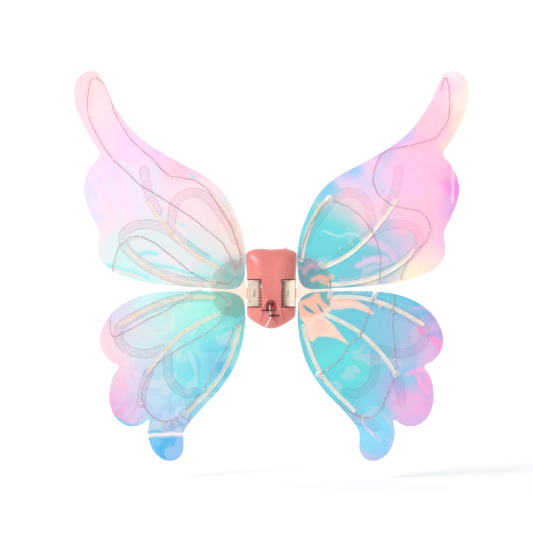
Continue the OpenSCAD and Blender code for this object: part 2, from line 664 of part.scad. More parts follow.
// stays, each along its own curve on the front of the films
leading = wps([[34, 50], [38, 74], [46, 101], [57, 126], [70, 145], [84, 160]]);
middle = wps([[76, 38], [104, 51], [130, 68], [153, 90], [172, 112], [190, 134], [201, 150]]);
trailing = wps([[86, 7], [115, 9], [145, 14], [172, 22], [196, 34], [217, 49], [236, 65]]);
lower_top = wps([[84, -15], [115, -14], [148, -17], [176, -24], [203, -35], [227, -48], [249, -60]]);
lower_mid = wps([[76, -44], [101, -55], [122, -66], [140, -77], [157, -92], [173, -108], [188, -126], [198, -142]]);
lower_rear = wps([[37, -66], [44, -93], [56, -124], [72, -153], [93, -178], [113, -197], [128, -211]]);
module stay(side, route) {
  color("moccasin") on_wing(side) layer(-film_v - stay_t, -film_v) strip(open_curve(route, 3), stay_w);
}

// embossed bands, on the back of the films
trail_loop = wps([[95, 12], [143, 15], [193, 34], [226, 57], [243, 77], [242, 95], [229, 107],
  [205, 112], [181, 108], [158, 96], [129, 74], [98, 54]]);
lead_loop = wps([[161, 104], [158, 121], [152, 148], [135, 164], [112, 167], [90, 155], [71, 130],
  [53, 107], [44, 84]]);
tip_finger = wps([[183, 134], [193, 151], [203, 178], [207, 204]]);
top_loop = wps([[96, -14], [118, -14], [161, -21], [200, -36], [231, -51], [249, -64], [253, -78],
  [249, -93], [236, -104], [216, -111], [195, -111], [174, -104]]);
mid_loop = wps([[164, -113], [165, -135], [161, -157], [148, -173], [131, -182], [116, -179]]);
mid_finger = wps([[199, -145], [206, -160], [211, -182], [212, -197]]);
tail_patch = wps([[131, -226], [150, -232], [166, -238]]);
root_shape = wps([[26.6, 12], [29, 32], [31, 50], [50, 51], [69, 42], [84, 26], [88, 4], [84, -26],
  [66, -44], [40, -52], [29, -46], [26.6, -30]]);
module bands(side, routes) {
  color("lavender") on_wing(side) layer(film_v, film_v + band_t) difference() {
    for (r = routes) strip(open_curve(r, 3), band_w);
    offset(delta = slack) polygon(root_shape);
  }
}

// root plate: fan behind the films, gusset between them and tongue into the flapper
gusset = [[film_inner, 15], [33, 2], [44, -2.6], [70, -3.1], [44, -8], [32, -20], [film_inner, -33]];
module root_plate(side) {
  color("bisque") on_wing(side) difference() {
    union() {
      layer(film_v, film_v + root_t - 1) polygon(root_shape);
      layer(-root_t / 2, film_v + root_t - 1) intersection() {
        translate([0, flapper_z0]) square([100, flapper_h]);
        difference() {
          polygon(wps(gusset));
          offset(delta = slack) upper_shape();
          offset(delta = slack) lower_shape();
        }
      }
      translate([tongue_u, -root_t / 2, flapper_mid_z - tongue_h / 2]) cube([film_inner - tongue_u + 1, root_t, tongue_h]);
    }
    translate([film_inner + 1.6, 5, flapper_mid_z]) rotate([90, 0, 0]) cylinder(d = 1.8, h = 10);
  }
}

// light wires, just in front of the stays
wire_v = -film_v - stay_t - wire_d / 2 - 0.1;
left_upper_wire = [[52, 12], [45, 24], [47, 41], [67, 79], [91, 98], [124, 124], [157, 145], [188, 164],
  [216, 179], [238, 201], [263, 222], [282, 248], [299, 280], [306, 296], [308, 319], [303, 356],
  [294, 364], [278, 352], [267, 329], [261, 305], [244, 275], [232, 258], [214, 241], [193, 225],
  [178, 207], [162, 195], [143, 193], [117, 188], [97, 175], [77, 146], [53, 109], [34, 56], [40, 38]];
left_trail_wire = [[264, 28], [261, 49], [252, 73], [232, 90], [214, 91], [188, 79], [157, 55], [128, 31],
  [100, 15], [81, 11], [55, 9]];
left_lower_wire = [[26, -50], [46, -67], [60, -101], [83, -141], [102, -174], [122, -198], [148, -222],
  [164, -230], [183, -227], [198, -216], [212, -197], [212, -177], [205, -158], [188, -131], [171, -120],
  [140, -100], [103, -81], [77, -63], [62, -43], [57, -27], [64, -15], [83, -6]];
left_top_wire = [[102, -2], [119, -4], [133, -15], [152, -27], [173, -40], [205, -54], [231, -69],
  [262, -84], [268, -72], [268, -50]];
right_tip_wire = [[281, 340], [286, 360], [291, 362], [295, 347], [297, 317], [295, 291], [274, 259],
  [228, 247], [190, 241], [175, 231], [164, 207], [161, 185], [171, 162], [195, 144], [244, 134],
  [260, 118], [263, 101], [255, 80], [235, 63], [217, 37], [210, 16]];
right_hub_wire = [[173, 10], [174, 27], [175, 53], [169, 79], [158, 103], [139, 127], [118, 142], [84, 156],
  [69, 142], [49, 109], [35, 74], [31, 52], [50, 51], [69, 41], [84, 26], [86, 0], [87, -9], [80, -34]];
right_cross_wire = [[169, -6], [162, -18], [155, -40], [146, -65], [138, -82], [118, -98], [106, -121],
  [80, -141], [62, -152]];
right_lower_wire = [[201, -11], [197, -40], [197, -73], [200, -100], [201, -121], [206, -142], [197, -160],
  [186, -184], [176, -208], [160, -223], [144, -222], [120, -214], [97, -195]];
right_wires = [right_tip_wire, right_hub_wire, right_cross_wire, right_lower_wire];
left_wires = [left_upper_wire, left_trail_wire, left_lower_wire, left_top_wire];
function wires_of(side) = side > 0 ? right_wires : left_wires;
module light_wires(side) {
  color("wheat") on_wing(side) for (w = wires_of(side))
    tube([for (p = wps(w)) [p.x, wire_v, p.y]], wire_d, [0, 1, 0]);
}
// clear tape patches that hold the wires: place and turn
right_tapes = [[71, 41, -40], [86, -8, 80], [84, 156, 10], [200, 150, 60], [166, -10, 70], [203, -146, 40], [66, -150, -30]];
left_tapes = [[110, 2, -5], [86, 12, 5], [130, -13, 30], [135, -217, 35], [232, 90, 0], [150, 194, 0]];
tape_t = 0.3;
function tapes_of(side) = side > 0 ? right_tapes : left_tapes;
module wire_tapes(side) {
  color("whitesmoke") on_wing(side) for (t = tapes_of(side))
    layer(wire_v - wire_d / 2 - tape_t, wire_v - wire_d / 2) translate(wp(t)) rotate(t.z) square([14, 10], center = true);
}

// light beads: drops on the wires, just clear of the stays, and none under a tape
bead_every = 3;
module light_beads(side) {
  color("white") on_wing(side) for (w = wires_of(side)) for (i = [1 : bead_every : len(w) - 2])
    if (min([for (t = tapes_of(side)) norm(w[i] - [t.x, t.y])]) > 11) let (p = wp(w[i]))
      translate([p.x, -film_v - stay_t - 2 * eps - bead_d / 2, p.y]) sphere(d = bead_d, $fn = 24);
}

front_shell();
back_shell();
battery_door();
battery_door_screw();
case_screws();
battery_cells();
battery_springs();
battery_plates();
circuit_board();
tact_switch();
power_button();
indicator_lens();
motor_can();
motor_shaft();
motor_pinion();
idler_gear();
crank_gear();
crank_pin();
drive_rack();
rack_guide();
gearbox_plate();
lower_bearing_plate();
gear_axles();
hinge_pins();
red_lead();
white_lead();
cable_tie();
flapper(1);  // right_flapper
flapper(-1);  // left_flapper
contacts(1);  // right_contacts
contacts(-1);  // left_contacts
root_plate(1);  // right_root_plate
root_plate(-1);  // left_root_plate
upper_film(1);  // right_upper_film
upper_film(-1);  // left_upper_film
lower_film(1);  // right_lower_film
lower_film(-1);  // left_lower_film
bands(1, [trail_loop, lead_loop, tip_finger]);  // right_upper_bands
bands(-1, [trail_loop, lead_loop, tip_finger]);  // left_upper_bands
bands(1, [top_loop, mid_loop, mid_finger, tail_patch]);  // right_lower_bands
bands(-1, [top_loop, mid_loop, mid_finger, tail_patch]);  // left_lower_bands
stay(1, leading);  // right_leading_stay
stay(-1, leading);  // left_leading_stay
stay(1, middle);  // right_middle_stay
stay(-1, middle);  // left_middle_stay
stay(1, trailing);  // right_trailing_stay
stay(-1, trailing);  // left_trailing_stay
stay(1, lower_top);  // right_lower_top_stay
stay(-1, lower_top);  // left_lower_top_stay
stay(1, lower_mid);  // right_lower_mid_stay
stay(-1, lower_mid);  // left_lower_mid_stay
stay(1, lower_rear);  // right_lower_rear_stay
stay(-1, lower_rear);  // left_lower_rear_stay
light_wires(1);  // right_light_wires
light_wires(-1);  // left_light_wires
light_beads(1);  // right_light_beads
light_beads(-1);  // left_light_beads
wire_tapes(1);  // right_wire_tapes
wire_tapes(-1);  // left_wire_tapes
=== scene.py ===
import math

import bmesh
import bpy
import numpy as np
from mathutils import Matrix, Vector
from mathutils.geometry import delaunay_2d_cdt


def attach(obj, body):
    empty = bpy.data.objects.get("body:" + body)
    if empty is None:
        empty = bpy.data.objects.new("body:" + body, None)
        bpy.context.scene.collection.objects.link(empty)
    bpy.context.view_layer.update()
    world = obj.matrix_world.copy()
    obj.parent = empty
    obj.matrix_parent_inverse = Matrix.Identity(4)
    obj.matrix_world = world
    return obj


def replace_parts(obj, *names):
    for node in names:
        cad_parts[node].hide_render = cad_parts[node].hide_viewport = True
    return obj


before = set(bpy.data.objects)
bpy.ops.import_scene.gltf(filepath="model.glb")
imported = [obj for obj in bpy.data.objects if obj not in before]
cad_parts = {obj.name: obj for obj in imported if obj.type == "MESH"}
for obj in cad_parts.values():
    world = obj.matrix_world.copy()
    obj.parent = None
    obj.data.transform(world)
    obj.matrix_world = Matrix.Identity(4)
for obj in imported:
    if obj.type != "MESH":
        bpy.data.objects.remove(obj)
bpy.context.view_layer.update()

# Lengths below are in millimetres unless a name says otherwise; meshes are built in metres.
mm = 0.001


# Curves and outlines

def catmull(a, b, c, d, t):
    square, cube = 2 * a - 5 * b + 4 * c - d, 3 * b - a - 3 * c + d
    return 0.5 * (2 * b + (c - a) * t + square * t * t + cube * t ** 3)


def closedCurve(points, n):
    p, m = np.array(points, float), len(points)
    return np.array([catmull(p[i - 1], p[i], p[(i + 1) % m], p[(i + 2) % m], j / n)
                     for i in range(m) for j in range(n)])


def openCurve(points, n):
    p, last = np.array(points, float), len(points) - 1
    line = [catmull(p[max(i - 1, 0)], p[i], p[i + 1], p[min(i + 2, last)], j / n)
            for i in range(last) for j in range(n)]
    return np.array(line + [p[last]])


def evenly(line, step):
    reach = np.concatenate([[0], np.cumsum(np.linalg.norm(np.diff(line, axis=0), axis=1))])
    at = np.linspace(0, reach[-1], max(2, int(round(reach[-1] / step)) + 1))
    return np.stack([np.interp(at, reach, line[:, k]) for k in range(line.shape[1])], 1)


def distanceTo(points, line, closed=False):
    # distance from each 2-D point to a polyline
    a = np.array(line, float)
    b = np.roll(a, -1, 0) if closed else a[1:]
    a = a if closed else a[:-1]
    best = np.full(len(points), 1e9)
    for p, q in zip(a, b):
        d = q - p
        t = np.clip(((points - p) @ d) / max(d @ d, 1e-9), 0, 1)
        best = np.minimum(best, np.linalg.norm(points - p - t[:, None] * d, axis=1))
    return best


def isInside(points, ring):
    x, y, inside = points[:, 0], points[:, 1], np.zeros(len(points), bool)
    for (x0, y0), (x1, y1) in zip(ring, np.roll(ring, -1, 0)):
        crosses = (y0 > y) != (y1 > y)
        inside ^= crosses & (x < (x1 - x0) * (y - y0) / ((y1 - y0) or 1e-12) + x0)
    return inside


def filled(ring, pitch, keepEdge=False):
    # triangles over a 2-D ring, with points about a pitch apart inside it
    edge = np.array(ring, float) if keepEdge else evenly(np.vstack([ring, ring[:1]]), pitch)[:-1]
    low, high = edge.min(0), edge.max(0)
    rows = np.arange(low[1], high[1], pitch * 0.866)
    grid = np.array([(x + (pitch / 2 if k % 2 else 0), y) for k, y in enumerate(rows)
                     for x in np.arange(low[0], high[0], pitch)])
    grid = grid[isInside(grid, edge)]
    grid = grid[distanceTo(grid, edge, True) > pitch * 0.55]
    points = [Vector(p) for p in np.vstack([edge, grid])]
    sides = [(i, (i + 1) % len(edge)) for i in range(len(edge))]
    found = delaunay_2d_cdt(points, sides, [list(range(len(edge)))], 1, 1e-6)
    return np.array([list(v) for v in found[0]]), [list(f) for f in found[2]]


# Meshes

def newObject(name, points, faces, material=None, body=None, smooth=True):
    mesh = bpy.data.meshes.new(name)
    mesh.from_pydata([tuple(float(c) * mm for c in p) for p in points], [], [tuple(f) for f in faces])
    mesh.validate()
    mesh.update()
    if smooth:
        mesh.polygons.foreach_set("use_smooth", np.ones(len(mesh.polygons), bool))
    if material:
        mesh.materials.append(material)
    made = bpy.data.objects.new(name, mesh)
    bpy.context.scene.collection.objects.link(made)
    if body:
        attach(made, body)
    return made


def setAttribute(made, name, values):
    kind = "FLOAT_COLOR" if np.ndim(values) == 2 else "FLOAT"
    layer = made.data.attributes.new(name, kind, "POINT")
    if kind == "FLOAT":
        layer.data.foreach_set("value", np.asarray(values, np.float32))
    else:
        rgba = np.concatenate([values, np.ones((len(values), 1))], 1)
        layer.data.foreach_set("color", rgba.astype(np.float32).ravel())


def swept(line, section, up=None, twist=None):
    # a closed section of 2-D points moved along a 3-D line, with capped ends
    line = np.array(line, float)
    ahead = np.gradient(line, axis=0)
    ahead /= np.linalg.norm(ahead, axis=1)[:, None]
    points, n = [], len(section)
    side = np.cross(ahead[0], up if up is not None else [0.31, 0.9, 0.3])
    for i, p in enumerate(line):
        if up is not None:
            side = np.cross(ahead[i], up)
        else:
            side = side - (side @ ahead[i]) * ahead[i]
        side = side / np.linalg.norm(side)
        rise = np.cross(side, ahead[i])
        turn = twist[i] if twist is not None else 0
        c, s = math.cos(turn), math.sin(turn)
        points += [p + side * (x * c - y * s) + rise * (x * s + y * c) for x, y in section]
    faces = [(i * n + j, i * n + (j + 1) % n, (i + 1) * n + (j + 1) % n, (i + 1) * n + j)
             for i in range(len(line) - 1) for j in range(n)]
    faces += [tuple(range(n))[::-1], tuple((len(line) - 1) * n + j for j in range(n))]
    return points, faces


def joined(parts):
    points, faces = [], []
    for p, f in parts:
        faces += [tuple(i + len(points) for i in face) for face in f]
        points += list(p)
    return points, faces


def circle(d, n, x=0, y=0):
    angles = [2 * math.pi * k / n for k in range(n)]
    return [(x + d / 2 * math.cos(a), y + d / 2 * math.sin(a)) for a in angles]


# Materials

def hexParts(text):
    return np.array([int(text[i:i + 2], 16) / 255 for i in (1, 3, 5)])


def toLinear(shade):
    # sRGB shares to the linear values that the renderer works in
    return np.where(shade <= 0.04045, shade / 12.92, ((shade + 0.055) / 1.055) ** 2.4)


def rgba(text):
    return (*(float(v) for v in toLinear(hexParts(text))), 1)


def addNode(tree, kind, x, y, links=None, values=None, stops=None, **settings):
    # a node with its own settings, fixed inputs, links and, on a colour ramp, its stops
    made = tree.nodes.new(kind)
    made.location = (x, y)
    for name, value in settings.items():
        setattr(made, name, value)
    for name, value in (values or {}).items():
        made.inputs[name].default_value = value
    for name, source in (links or {}).items():
        tree.links.new(source, made.inputs[name])
    for k, (at, tone) in enumerate(stops or []):
        element = made.color_ramp.elements[k] if k < 2 else made.color_ramp.elements.new(at)
        element.position, element.color = at, rgba(tone)
    return made


def newMaterial(name):
    # an empty material with its output, and Object coordinates in millimetres
    made = bpy.data.materials.new(name)
    made.use_nodes = True
    tree = made.node_tree
    tree.nodes.clear()
    out = addNode(tree, "ShaderNodeOutputMaterial", 900, 0)
    place = addNode(tree, "ShaderNodeTexCoord", -900, 0)
    size = addNode(tree, "ShaderNodeVectorMath", -720, 0, {0: place.outputs["Object"]}, {"Scale": 1 / mm},
                   operation="SCALE")
    return made, tree, out, size.outputs[0]


# A solid material: two close tones from slow noise, fine grain, and roughness that varies a little
def solid(name, tone, darker, roughness, grainMm, grain, patchMm, metallic=0, spread=0.06, extra=None):
    made, tree, out, place = newMaterial(name)
    patch = addNode(tree, "ShaderNodeTexNoise", -500, 150, {"Vector": place},
                    {"Scale": 1 / patchMm, "Detail": 3})
    colour = addNode(tree, "ShaderNodeValToRGB", -300, 150, {0: patch.outputs["Fac"]},
                     stops=[(0.35, darker), (0.65, tone)])
    rough = addNode(tree, "ShaderNodeMapRange", -300, -60, {"Value": patch.outputs["Fac"]},
                    {"To Min": roughness - spread, "To Max": roughness + spread})
    fine = addNode(tree, "ShaderNodeTexNoise", -500, -150, {"Vector": place},
                   {"Scale": 1 / grainMm, "Detail": 2})
    height = addNode(tree, "ShaderNodeBump", -100, -200, {"Height": fine.outputs["Fac"]},
                     {"Strength": grain, "Distance": 0.05 * mm})
    body = addNode(tree, "ShaderNodeBsdfPrincipled", 300, 0, {
        "Base Color": colour.outputs["Color"], "Roughness": rough.outputs["Result"],
        "Normal": height.outputs["Normal"]}, {"Metallic": metallic, **(extra or {})})
    tree.links.new(body.outputs[0], out.inputs["Surface"])
    return made


# Clear sheet and mouldings: part of the light passes straight through, the rest is scattered
def clearSheet(name, tint, tone, through, roughness, grainMm, grain, patchMm, coat, passTint="#FFFFFF"):
    made, tree, out, place = newMaterial(name)
    patch = addNode(tree, "ShaderNodeTexNoise", -500, 150, {"Vector": place},
                    {"Scale": 1 / patchMm, "Detail": 4, "Distortion": 0.6})
    colour = addNode(tree, "ShaderNodeValToRGB", -300, 150, {0: patch.outputs["Fac"]},
                     stops=[(0.35, tone), (0.6, tint)])
    fine = addNode(tree, "ShaderNodeTexNoise", -500, -200, {"Vector": place},
                   {"Scale": 1 / grainMm, "Detail": 3})
    height = addNode(tree, "ShaderNodeBump", -100, -250, {"Height": fine.outputs["Fac"]},
                     {"Strength": grain, "Distance": 0.3 * mm})
    body = addNode(tree, "ShaderNodeBsdfPrincipled", 200, 0, {
        "Base Color": colour.outputs["Color"], "Normal": height.outputs["Normal"]},
        {"Roughness": roughness, "Coat Weight": coat, "Coat Roughness": 0.08})
    glow = addNode(tree, "ShaderNodeBsdfTranslucent", 200, -350, {"Color": colour.outputs["Color"]})
    scatter = addNode(tree, "ShaderNodeMixShader", 450, -100, {1: body.outputs[0], 2: glow.outputs[0]},
                      {0: 0.35})
    clear = addNode(tree, "ShaderNodeBsdfTransparent", 450, 200, values={"Color": rgba(passTint)})
    mixed = addNode(tree, "ShaderNodeMixShader", 680, 0, {1: scatter.outputs[0], 2: clear.outputs[0]},
                    {0: through})
    tree.links.new(mixed.outputs[0], out.inputs["Surface"])
    return made


# Iridescent PET film: the painted tint with cloudy streaks, painted shade along the embossed outline and
# dots of each band, a cut edge and a glossy skin
def iridescent(name, streakMix, coolStreak, warmStreak, embossShade):
    made, tree, out, place = newMaterial(name)
    tint = addNode(tree, "ShaderNodeAttribute", -500, 300, attribute_name="tint")
    rim = addNode(tree, "ShaderNodeAttribute", -500, 500, attribute_name="rim")
    cloud = addNode(tree, "ShaderNodeTexNoise", -500, 50, {"Vector": place},
                    {"Scale": 1 / 70, "Detail": 5, "Distortion": 1.6})
    cool = addNode(tree, "ShaderNodeValToRGB", -300, 50, {0: cloud.outputs["Fac"]},
                   stops=[(0.40, "#FFFFFF"), (0.47, "#000000")])
    warm = addNode(tree, "ShaderNodeValToRGB", -300, -150, {0: cloud.outputs["Fac"]},
                   stops=[(0.56, "#000000"), (0.60, "#FFFFFF")])
    layers = tint.outputs["Color"]
    for k, (mask, colour) in enumerate([(cool, coolStreak), (warm, warmStreak)]):
        amount = addNode(tree, "ShaderNodeMath", -80, 100 - 200 * k, {0: mask.outputs["Color"]},
                         {1: streakMix}, operation="MULTIPLY")
        streak = addNode(tree, "ShaderNodeMix", 60, 200 - 150 * k, {0: amount.outputs[0], 6: layers},
                         {7: rgba(colour)}, data_type="RGBA")
        layers = streak.outputs[2]
    # painted shade of the embossing: a fine darker outline of each band, and darker dots 2.3 mm apart inside
    # it
    band = addNode(tree, "ShaderNodeAttribute", -700, -700, attribute_name="band")
    away = addNode(tree, "ShaderNodeMath", -500, -700, {0: band.outputs["Fac"]}, operation="ABSOLUTE")
    outline = addNode(tree, "ShaderNodeMapRange", -300, -700, {"Value": away.outputs[0]},
                      {"From Min": 0.35, "From Max": 1, "To Min": 0.75, "To Max": 0})
    inside = addNode(tree, "ShaderNodeMapRange", -300, -950, {"Value": band.outputs["Fac"]},
                     {"From Min": -0.7, "From Max": -1.3, "To Min": 0, "To Max": 0.7})
    cells = addNode(tree, "ShaderNodeTexVoronoi", -500, -1100, {"Vector": place}, {"Scale": 1 / 2.3})
    dot = addNode(tree, "ShaderNodeMapRange", -300, -1200, {"Value": cells.outputs["Distance"]},
                  {"From Min": 0.2, "From Max": 0.42, "To Min": 1, "To Max": 0})
    dots = addNode(tree, "ShaderNodeMath", -80, -1000, {0: inside.outputs[0], 1: dot.outputs[0]},
                   operation="MULTIPLY")
    marks = addNode(tree, "ShaderNodeMath", 60, -850, {0: outline.outputs[0], 1: dots.outputs[0]},
                    operation="MAXIMUM")
    shown = addNode(tree, "ShaderNodeMath", 200, -850, {0: marks.outputs[0]}, {1: embossShade},
                    operation="MULTIPLY")
    # the painted shade colour, multiplied into the film's tint where the embossed marks are
    darker = addNode(tree, "ShaderNodeMix", 60, -550, {6: layers}, {0: 1, 7: rgba("#C890B2")},
                     data_type="RGBA", blend_type="MULTIPLY")
    marked = addNode(tree, "ShaderNodeMix", 200, -550, {
        0: shown.outputs[0], 6: layers, 7: darker.outputs[2]}, data_type="RGBA")
    # light crosses the film and scatters in it, so its colours are held back and warmed a little
    calm = addNode(tree, "ShaderNodeHueSaturation", 60, -300, {"Color": marked.outputs[2]},
                   {"Saturation": 0.93, "Value": 1})
    warmed = addNode(tree, "ShaderNodeMix", 200, -300, {6: calm.outputs[0]}, {0: 1, 7: rgba("#FFFDF6")},
                     data_type="RGBA", blend_type="MULTIPLY")
    layers = warmed.outputs[2]
    fine = addNode(tree, "ShaderNodeTexNoise", -500, -400, {"Vector": place},
                   {"Scale": 1 / 22, "Detail": 3, "Distortion": 0.4})
    height = addNode(tree, "ShaderNodeBump", -100, -400, {"Height": fine.outputs["Fac"]},
                     {"Strength": 0.35, "Distance": 1.2 * mm})
    body = addNode(tree, "ShaderNodeBsdfPrincipled", 300, 0, {
        "Base Color": layers, "Normal": height.outputs["Normal"]},
        {"Roughness": 0.34, "Coat Weight": 0.25, "Coat Roughness": 0.06, "Specular IOR Level": 0.4})
    glow = addNode(tree, "ShaderNodeBsdfTranslucent", 300, -350, {"Color": layers})
    scatter = addNode(tree, "ShaderNodeMixShader", 480, -100, {1: body.outputs[0], 2: glow.outputs[0]},
                      {0: 0.4})
    clear = addNode(tree, "ShaderNodeBsdfTransparent", 480, 200, {"Color": layers})
    through = addNode(tree, "ShaderNodeMapRange", 480, 400, {"Value": rim.outputs["Fac"]},
                      {"From Min": 0, "From Max": 2.2, "To Min": 0.2, "To Max": 0.42})
    mixed = addNode(tree, "ShaderNodeMixShader", 700, 0, {
        0: through.outputs["Result"], 1: scatter.outputs[0], 2: clear.outputs[0]})
    tree.links.new(mixed.outputs[0], out.inputs["Surface"])
    return made


def makeMaterials():
    made = {}
    # moulded ABS: warm satin skin, faint mould grain and a little light carried through its edges
    made["coral"] = solid("Coral ABS plastic", "#DF817A", "#D67770", 0.34, 0.35, 0.1, 40, extra={
        "Subsurface Weight": 0.12, "Subsurface Radius": (0.004, 0.0015, 0.001), "Subsurface Scale": 0.6,
        "Coat Weight": 0.12, "Coat Roughness": 0.25})
    # moulded nylon: cream, slightly waxy, soft highlights
    made["ivory"] = solid("Ivory nylon", "#E6DBCA", "#DDD0BC", 0.42, 0.4, 0.12, 12, extra={
        "Subsurface Weight": 0.1, "Subsurface Radius": (0.002, 0.0015, 0.001), "Subsurface Scale": 0.5})
    # moulded acetal: cool white and matt, for the gears and bearing plates
    made["nylon"] = solid("White acetal", "#ECEAE4", "#E2E0D8", 0.4, 0.4, 0.1, 10)
    # drawn and plated steel: bright grey with short soft streaks of plating
    made["steel"] = solid("Zinc plated steel", "#C9CCD0", "#B4B8BD", 0.3, 0.15, 0.25, 3, 1, 0.08)
    # turned brass: warm yellow, nearly polished
    made["brass"] = solid("Brass", "#D8B25C", "#C39A45", 0.28, 0.15, 0.2, 3, 1, 0.08)
    # pressed bronze strip: brown and slightly dull
    made["contact"] = solid("Tinned bronze contact", "#B98A63", "#A3764F", 0.35, 0.15, 0.2, 3, 1)
    # shrunk printed sleeve: pale yellow under a clear gloss
    made["cell"] = solid("Printed cell wrap", "#E6D9A8", "#DBCB90", 0.25, 0.6, 0.08, 8,
                         extra={"Coat Weight": 0.5})
    # glass cloth in epoxy: green under solder mask, with the weave faintly showing
    made["board"] = solid("Glass epoxy board", "#2F7A4C", "#276A41", 0.35, 0.8, 0.3, 4,
                          extra={"Coat Weight": 0.4})
    # moulded polyamide: near black with a soft sheen
    made["black"] = solid("Black polyamide", "#26252A", "#1D1C21", 0.45, 0.3, 0.2, 6)
    # extruded PVC: even colour and a smooth soft gloss
    made["red"] = solid("Red PVC insulation", "#D2202C", "#B8141F", 0.28, 0.3, 0.08, 6,
                        extra={"Coat Weight": 0.3})
    made["white"] = solid("White PVC insulation", "#F4F0F0", "#E6E0E2", 0.28, 0.3, 0.08, 6,
                          extra={"Coat Weight": 0.3})
    # polished acrylic: a small glossy dot that takes up the shell's colour
    made["lens"] = solid("Diffused lens acrylic", "#EFA79B", "#E59A8E", 0.15, 0.4, 0.05, 3,
                         extra={"Transmission Weight": 0.35, "Coat Weight": 0.6})
    # vapour coated PET: clouds of pink and turquoise, lit from behind, with a mirror-like skin
    # the last number sets how strongly the embossed marks are darkened with painted shade, more on the left
    # wing
    made["leftFilm"] = iridescent("Iridescent PET film, pale", 0.22, "#B9EEF2", "#FBE3EA", 0.55)
    made["rightFilm"] = iridescent("Iridescent PET film, deep", 0.2, "#6CCBE0", "#F2C0DE", 0.35)
    # pressed PVC channel: milky cream, with a wet shine along its two walls
    made["stay"] = clearSheet("Clear PVC channel", "#FFF7EE", "#FFEBDB", 0.42, 0.25, 6, 0.2, 18, 0.6)
    # rolled glitter film: almost clear with fine sparkle, its grain drawn coarser than real so that it shows
    made["band"] = clearSheet("Embossed glitter film", "#FFF4F8", "#F6DCE8", 0.94, 0.3, 1.1, 0.8, 5, 0.3,
                              "#FFF9FB")
    # moulded soft PVC: peach haze that darkens what lies behind it a little
    made["root"] = clearSheet("Clear moulded PVC", "#FDE0D2", "#F6D2C3", 0.8, 0.22, 7, 0.4, 16, 0.6,
                              "#FFF1EA")
    # enamelled copper pair: thin pink brown line with a metal glint
    made["wire"] = solid("Enamelled copper wire", "#D9A6B3", "#BA8794", 0.3, 0.2, 0.15, 14, 0.35,
                         extra={"Coat Weight": 0.6})
    # cured epoxy drop: glassy and warm white
    made["bead"] = clearSheet("Clear epoxy drop", "#FFF4EC", "#FBE6DE", 0.3, 0.08, 1.5, 0.1, 4, 1)
    # thin acrylic tape: clear, creased and shiny
    made["tape"] = clearSheet("Clear adhesive tape", "#FBF6F4", "#F3E6E2", 0.62, 0.12, 5, 0.5, 9, 1)
    print("materials", len(made))
    return made


# Wings. A wing point is (u, v, z): u outward from the hinge along the film, v behind it and z up

film = dict(pitch=2.6, lean=16, hingeX=20.5, hingeY=-25, ripple=1.5, flatFrom=60, skin=0.3)

def lift(u, z):
    # the film's slow ripple, none at the root and always to the rear
    t = np.clip((np.asarray(u) - film["flatFrom"]) / 120, 0, 1)
    wave = 0.5 + 0.27 * np.sin(u / 15 + z / 40) + 0.23 * np.sin(z / 17 - u / 55)
    return film["ripple"] * t * t * (3 - 2 * t) * wave


leanCos, leanSin = math.cos(math.radians(film["lean"])), math.sin(math.radians(film["lean"]))


def onWing(side, points, rippled=True):
    p = np.array(points, float)
    v = p[:, 1] + (lift(p[:, 0], p[:, 2]) if rippled else 0)
    x = film["hingeX"] + p[:, 0] * leanCos + v * leanSin
    y = film["hingeY"] - p[:, 0] * leanSin + v * leanCos
    return np.stack([side * x, y, p[:, 2]], 1)


def behind(side):
    return [side * leanSin, leanCos, 0]


# Outlines and routes are (u, z) points on the flat film of the right wing; curves are drawn through them
upperOutline = [[25.8, 36], [26, 64], [32, 98], [43, 127], [59, 158], [80, 182], [106, 200],
    [135, 214], [165, 230], [195, 247], [222, 268], [245, 294], [263, 322], [276, 350], [286, 369],
    [300, 374], [316, 369], [327, 354], [330, 332], [325, 306], [313, 280], [298, 253], [285, 232],
    [299, 212], [309, 193], [313, 170], [308, 145], [297, 120], [287, 100], [287, 82], [289, 65],
    [284, 49], [271, 36], [248, 24], [212, 13], [170, 6], [128, 2.5], [88, 0.6], [56, -1.2], [38, 3],
    [29, 16]]
lowerOutline = [[27, -31], [34, -15], [54, -6.2], [95, -4], [140, -3.6], [172, -4.8], [200, -8.5],
    [226, -16.5], [248, -28], [268, -45], [281, -68], [285, -88], [280, -108], [267, -124], [252, -133],
    [263, -152], [268, -175], [267, -198], [259, -219], [245, -232], [229, -237], [212, -234],
    [198, -226], [200, -245], [198, -263], [190, -281], [177, -293], [161, -298], [146, -293],
    [137.5, -280], [137, -262], [136, -247], [127, -233], [105, -208], [79, -183], [57, -155],
    [41, -126], [32, -97], [27.5, -72], [25.9, -48]]

stayRoutes = {
    "leading_stay": [[34, 50], [38, 74], [46, 101], [57, 126], [70, 145], [84, 160]],
    "middle_stay": [[76, 38], [104, 51], [130, 68], [153, 90], [172, 112], [190, 134], [201, 150]],
    "trailing_stay": [[86, 7], [115, 9], [145, 14], [172, 22], [196, 34], [217, 49], [236, 65]],
    "lower_top_stay": [[84, -15], [115, -14], [148, -17], [176, -24], [203, -35], [227, -48], [249, -60]],
    "lower_mid_stay": [[76, -44], [101, -55], [122, -66], [140, -77], [157, -92], [173, -108],
    [188, -126], [198, -142]],
    "lower_rear_stay": [[37, -66], [44, -93], [56, -124], [72, -153], [93, -178], [113, -197], [128, -211]]}

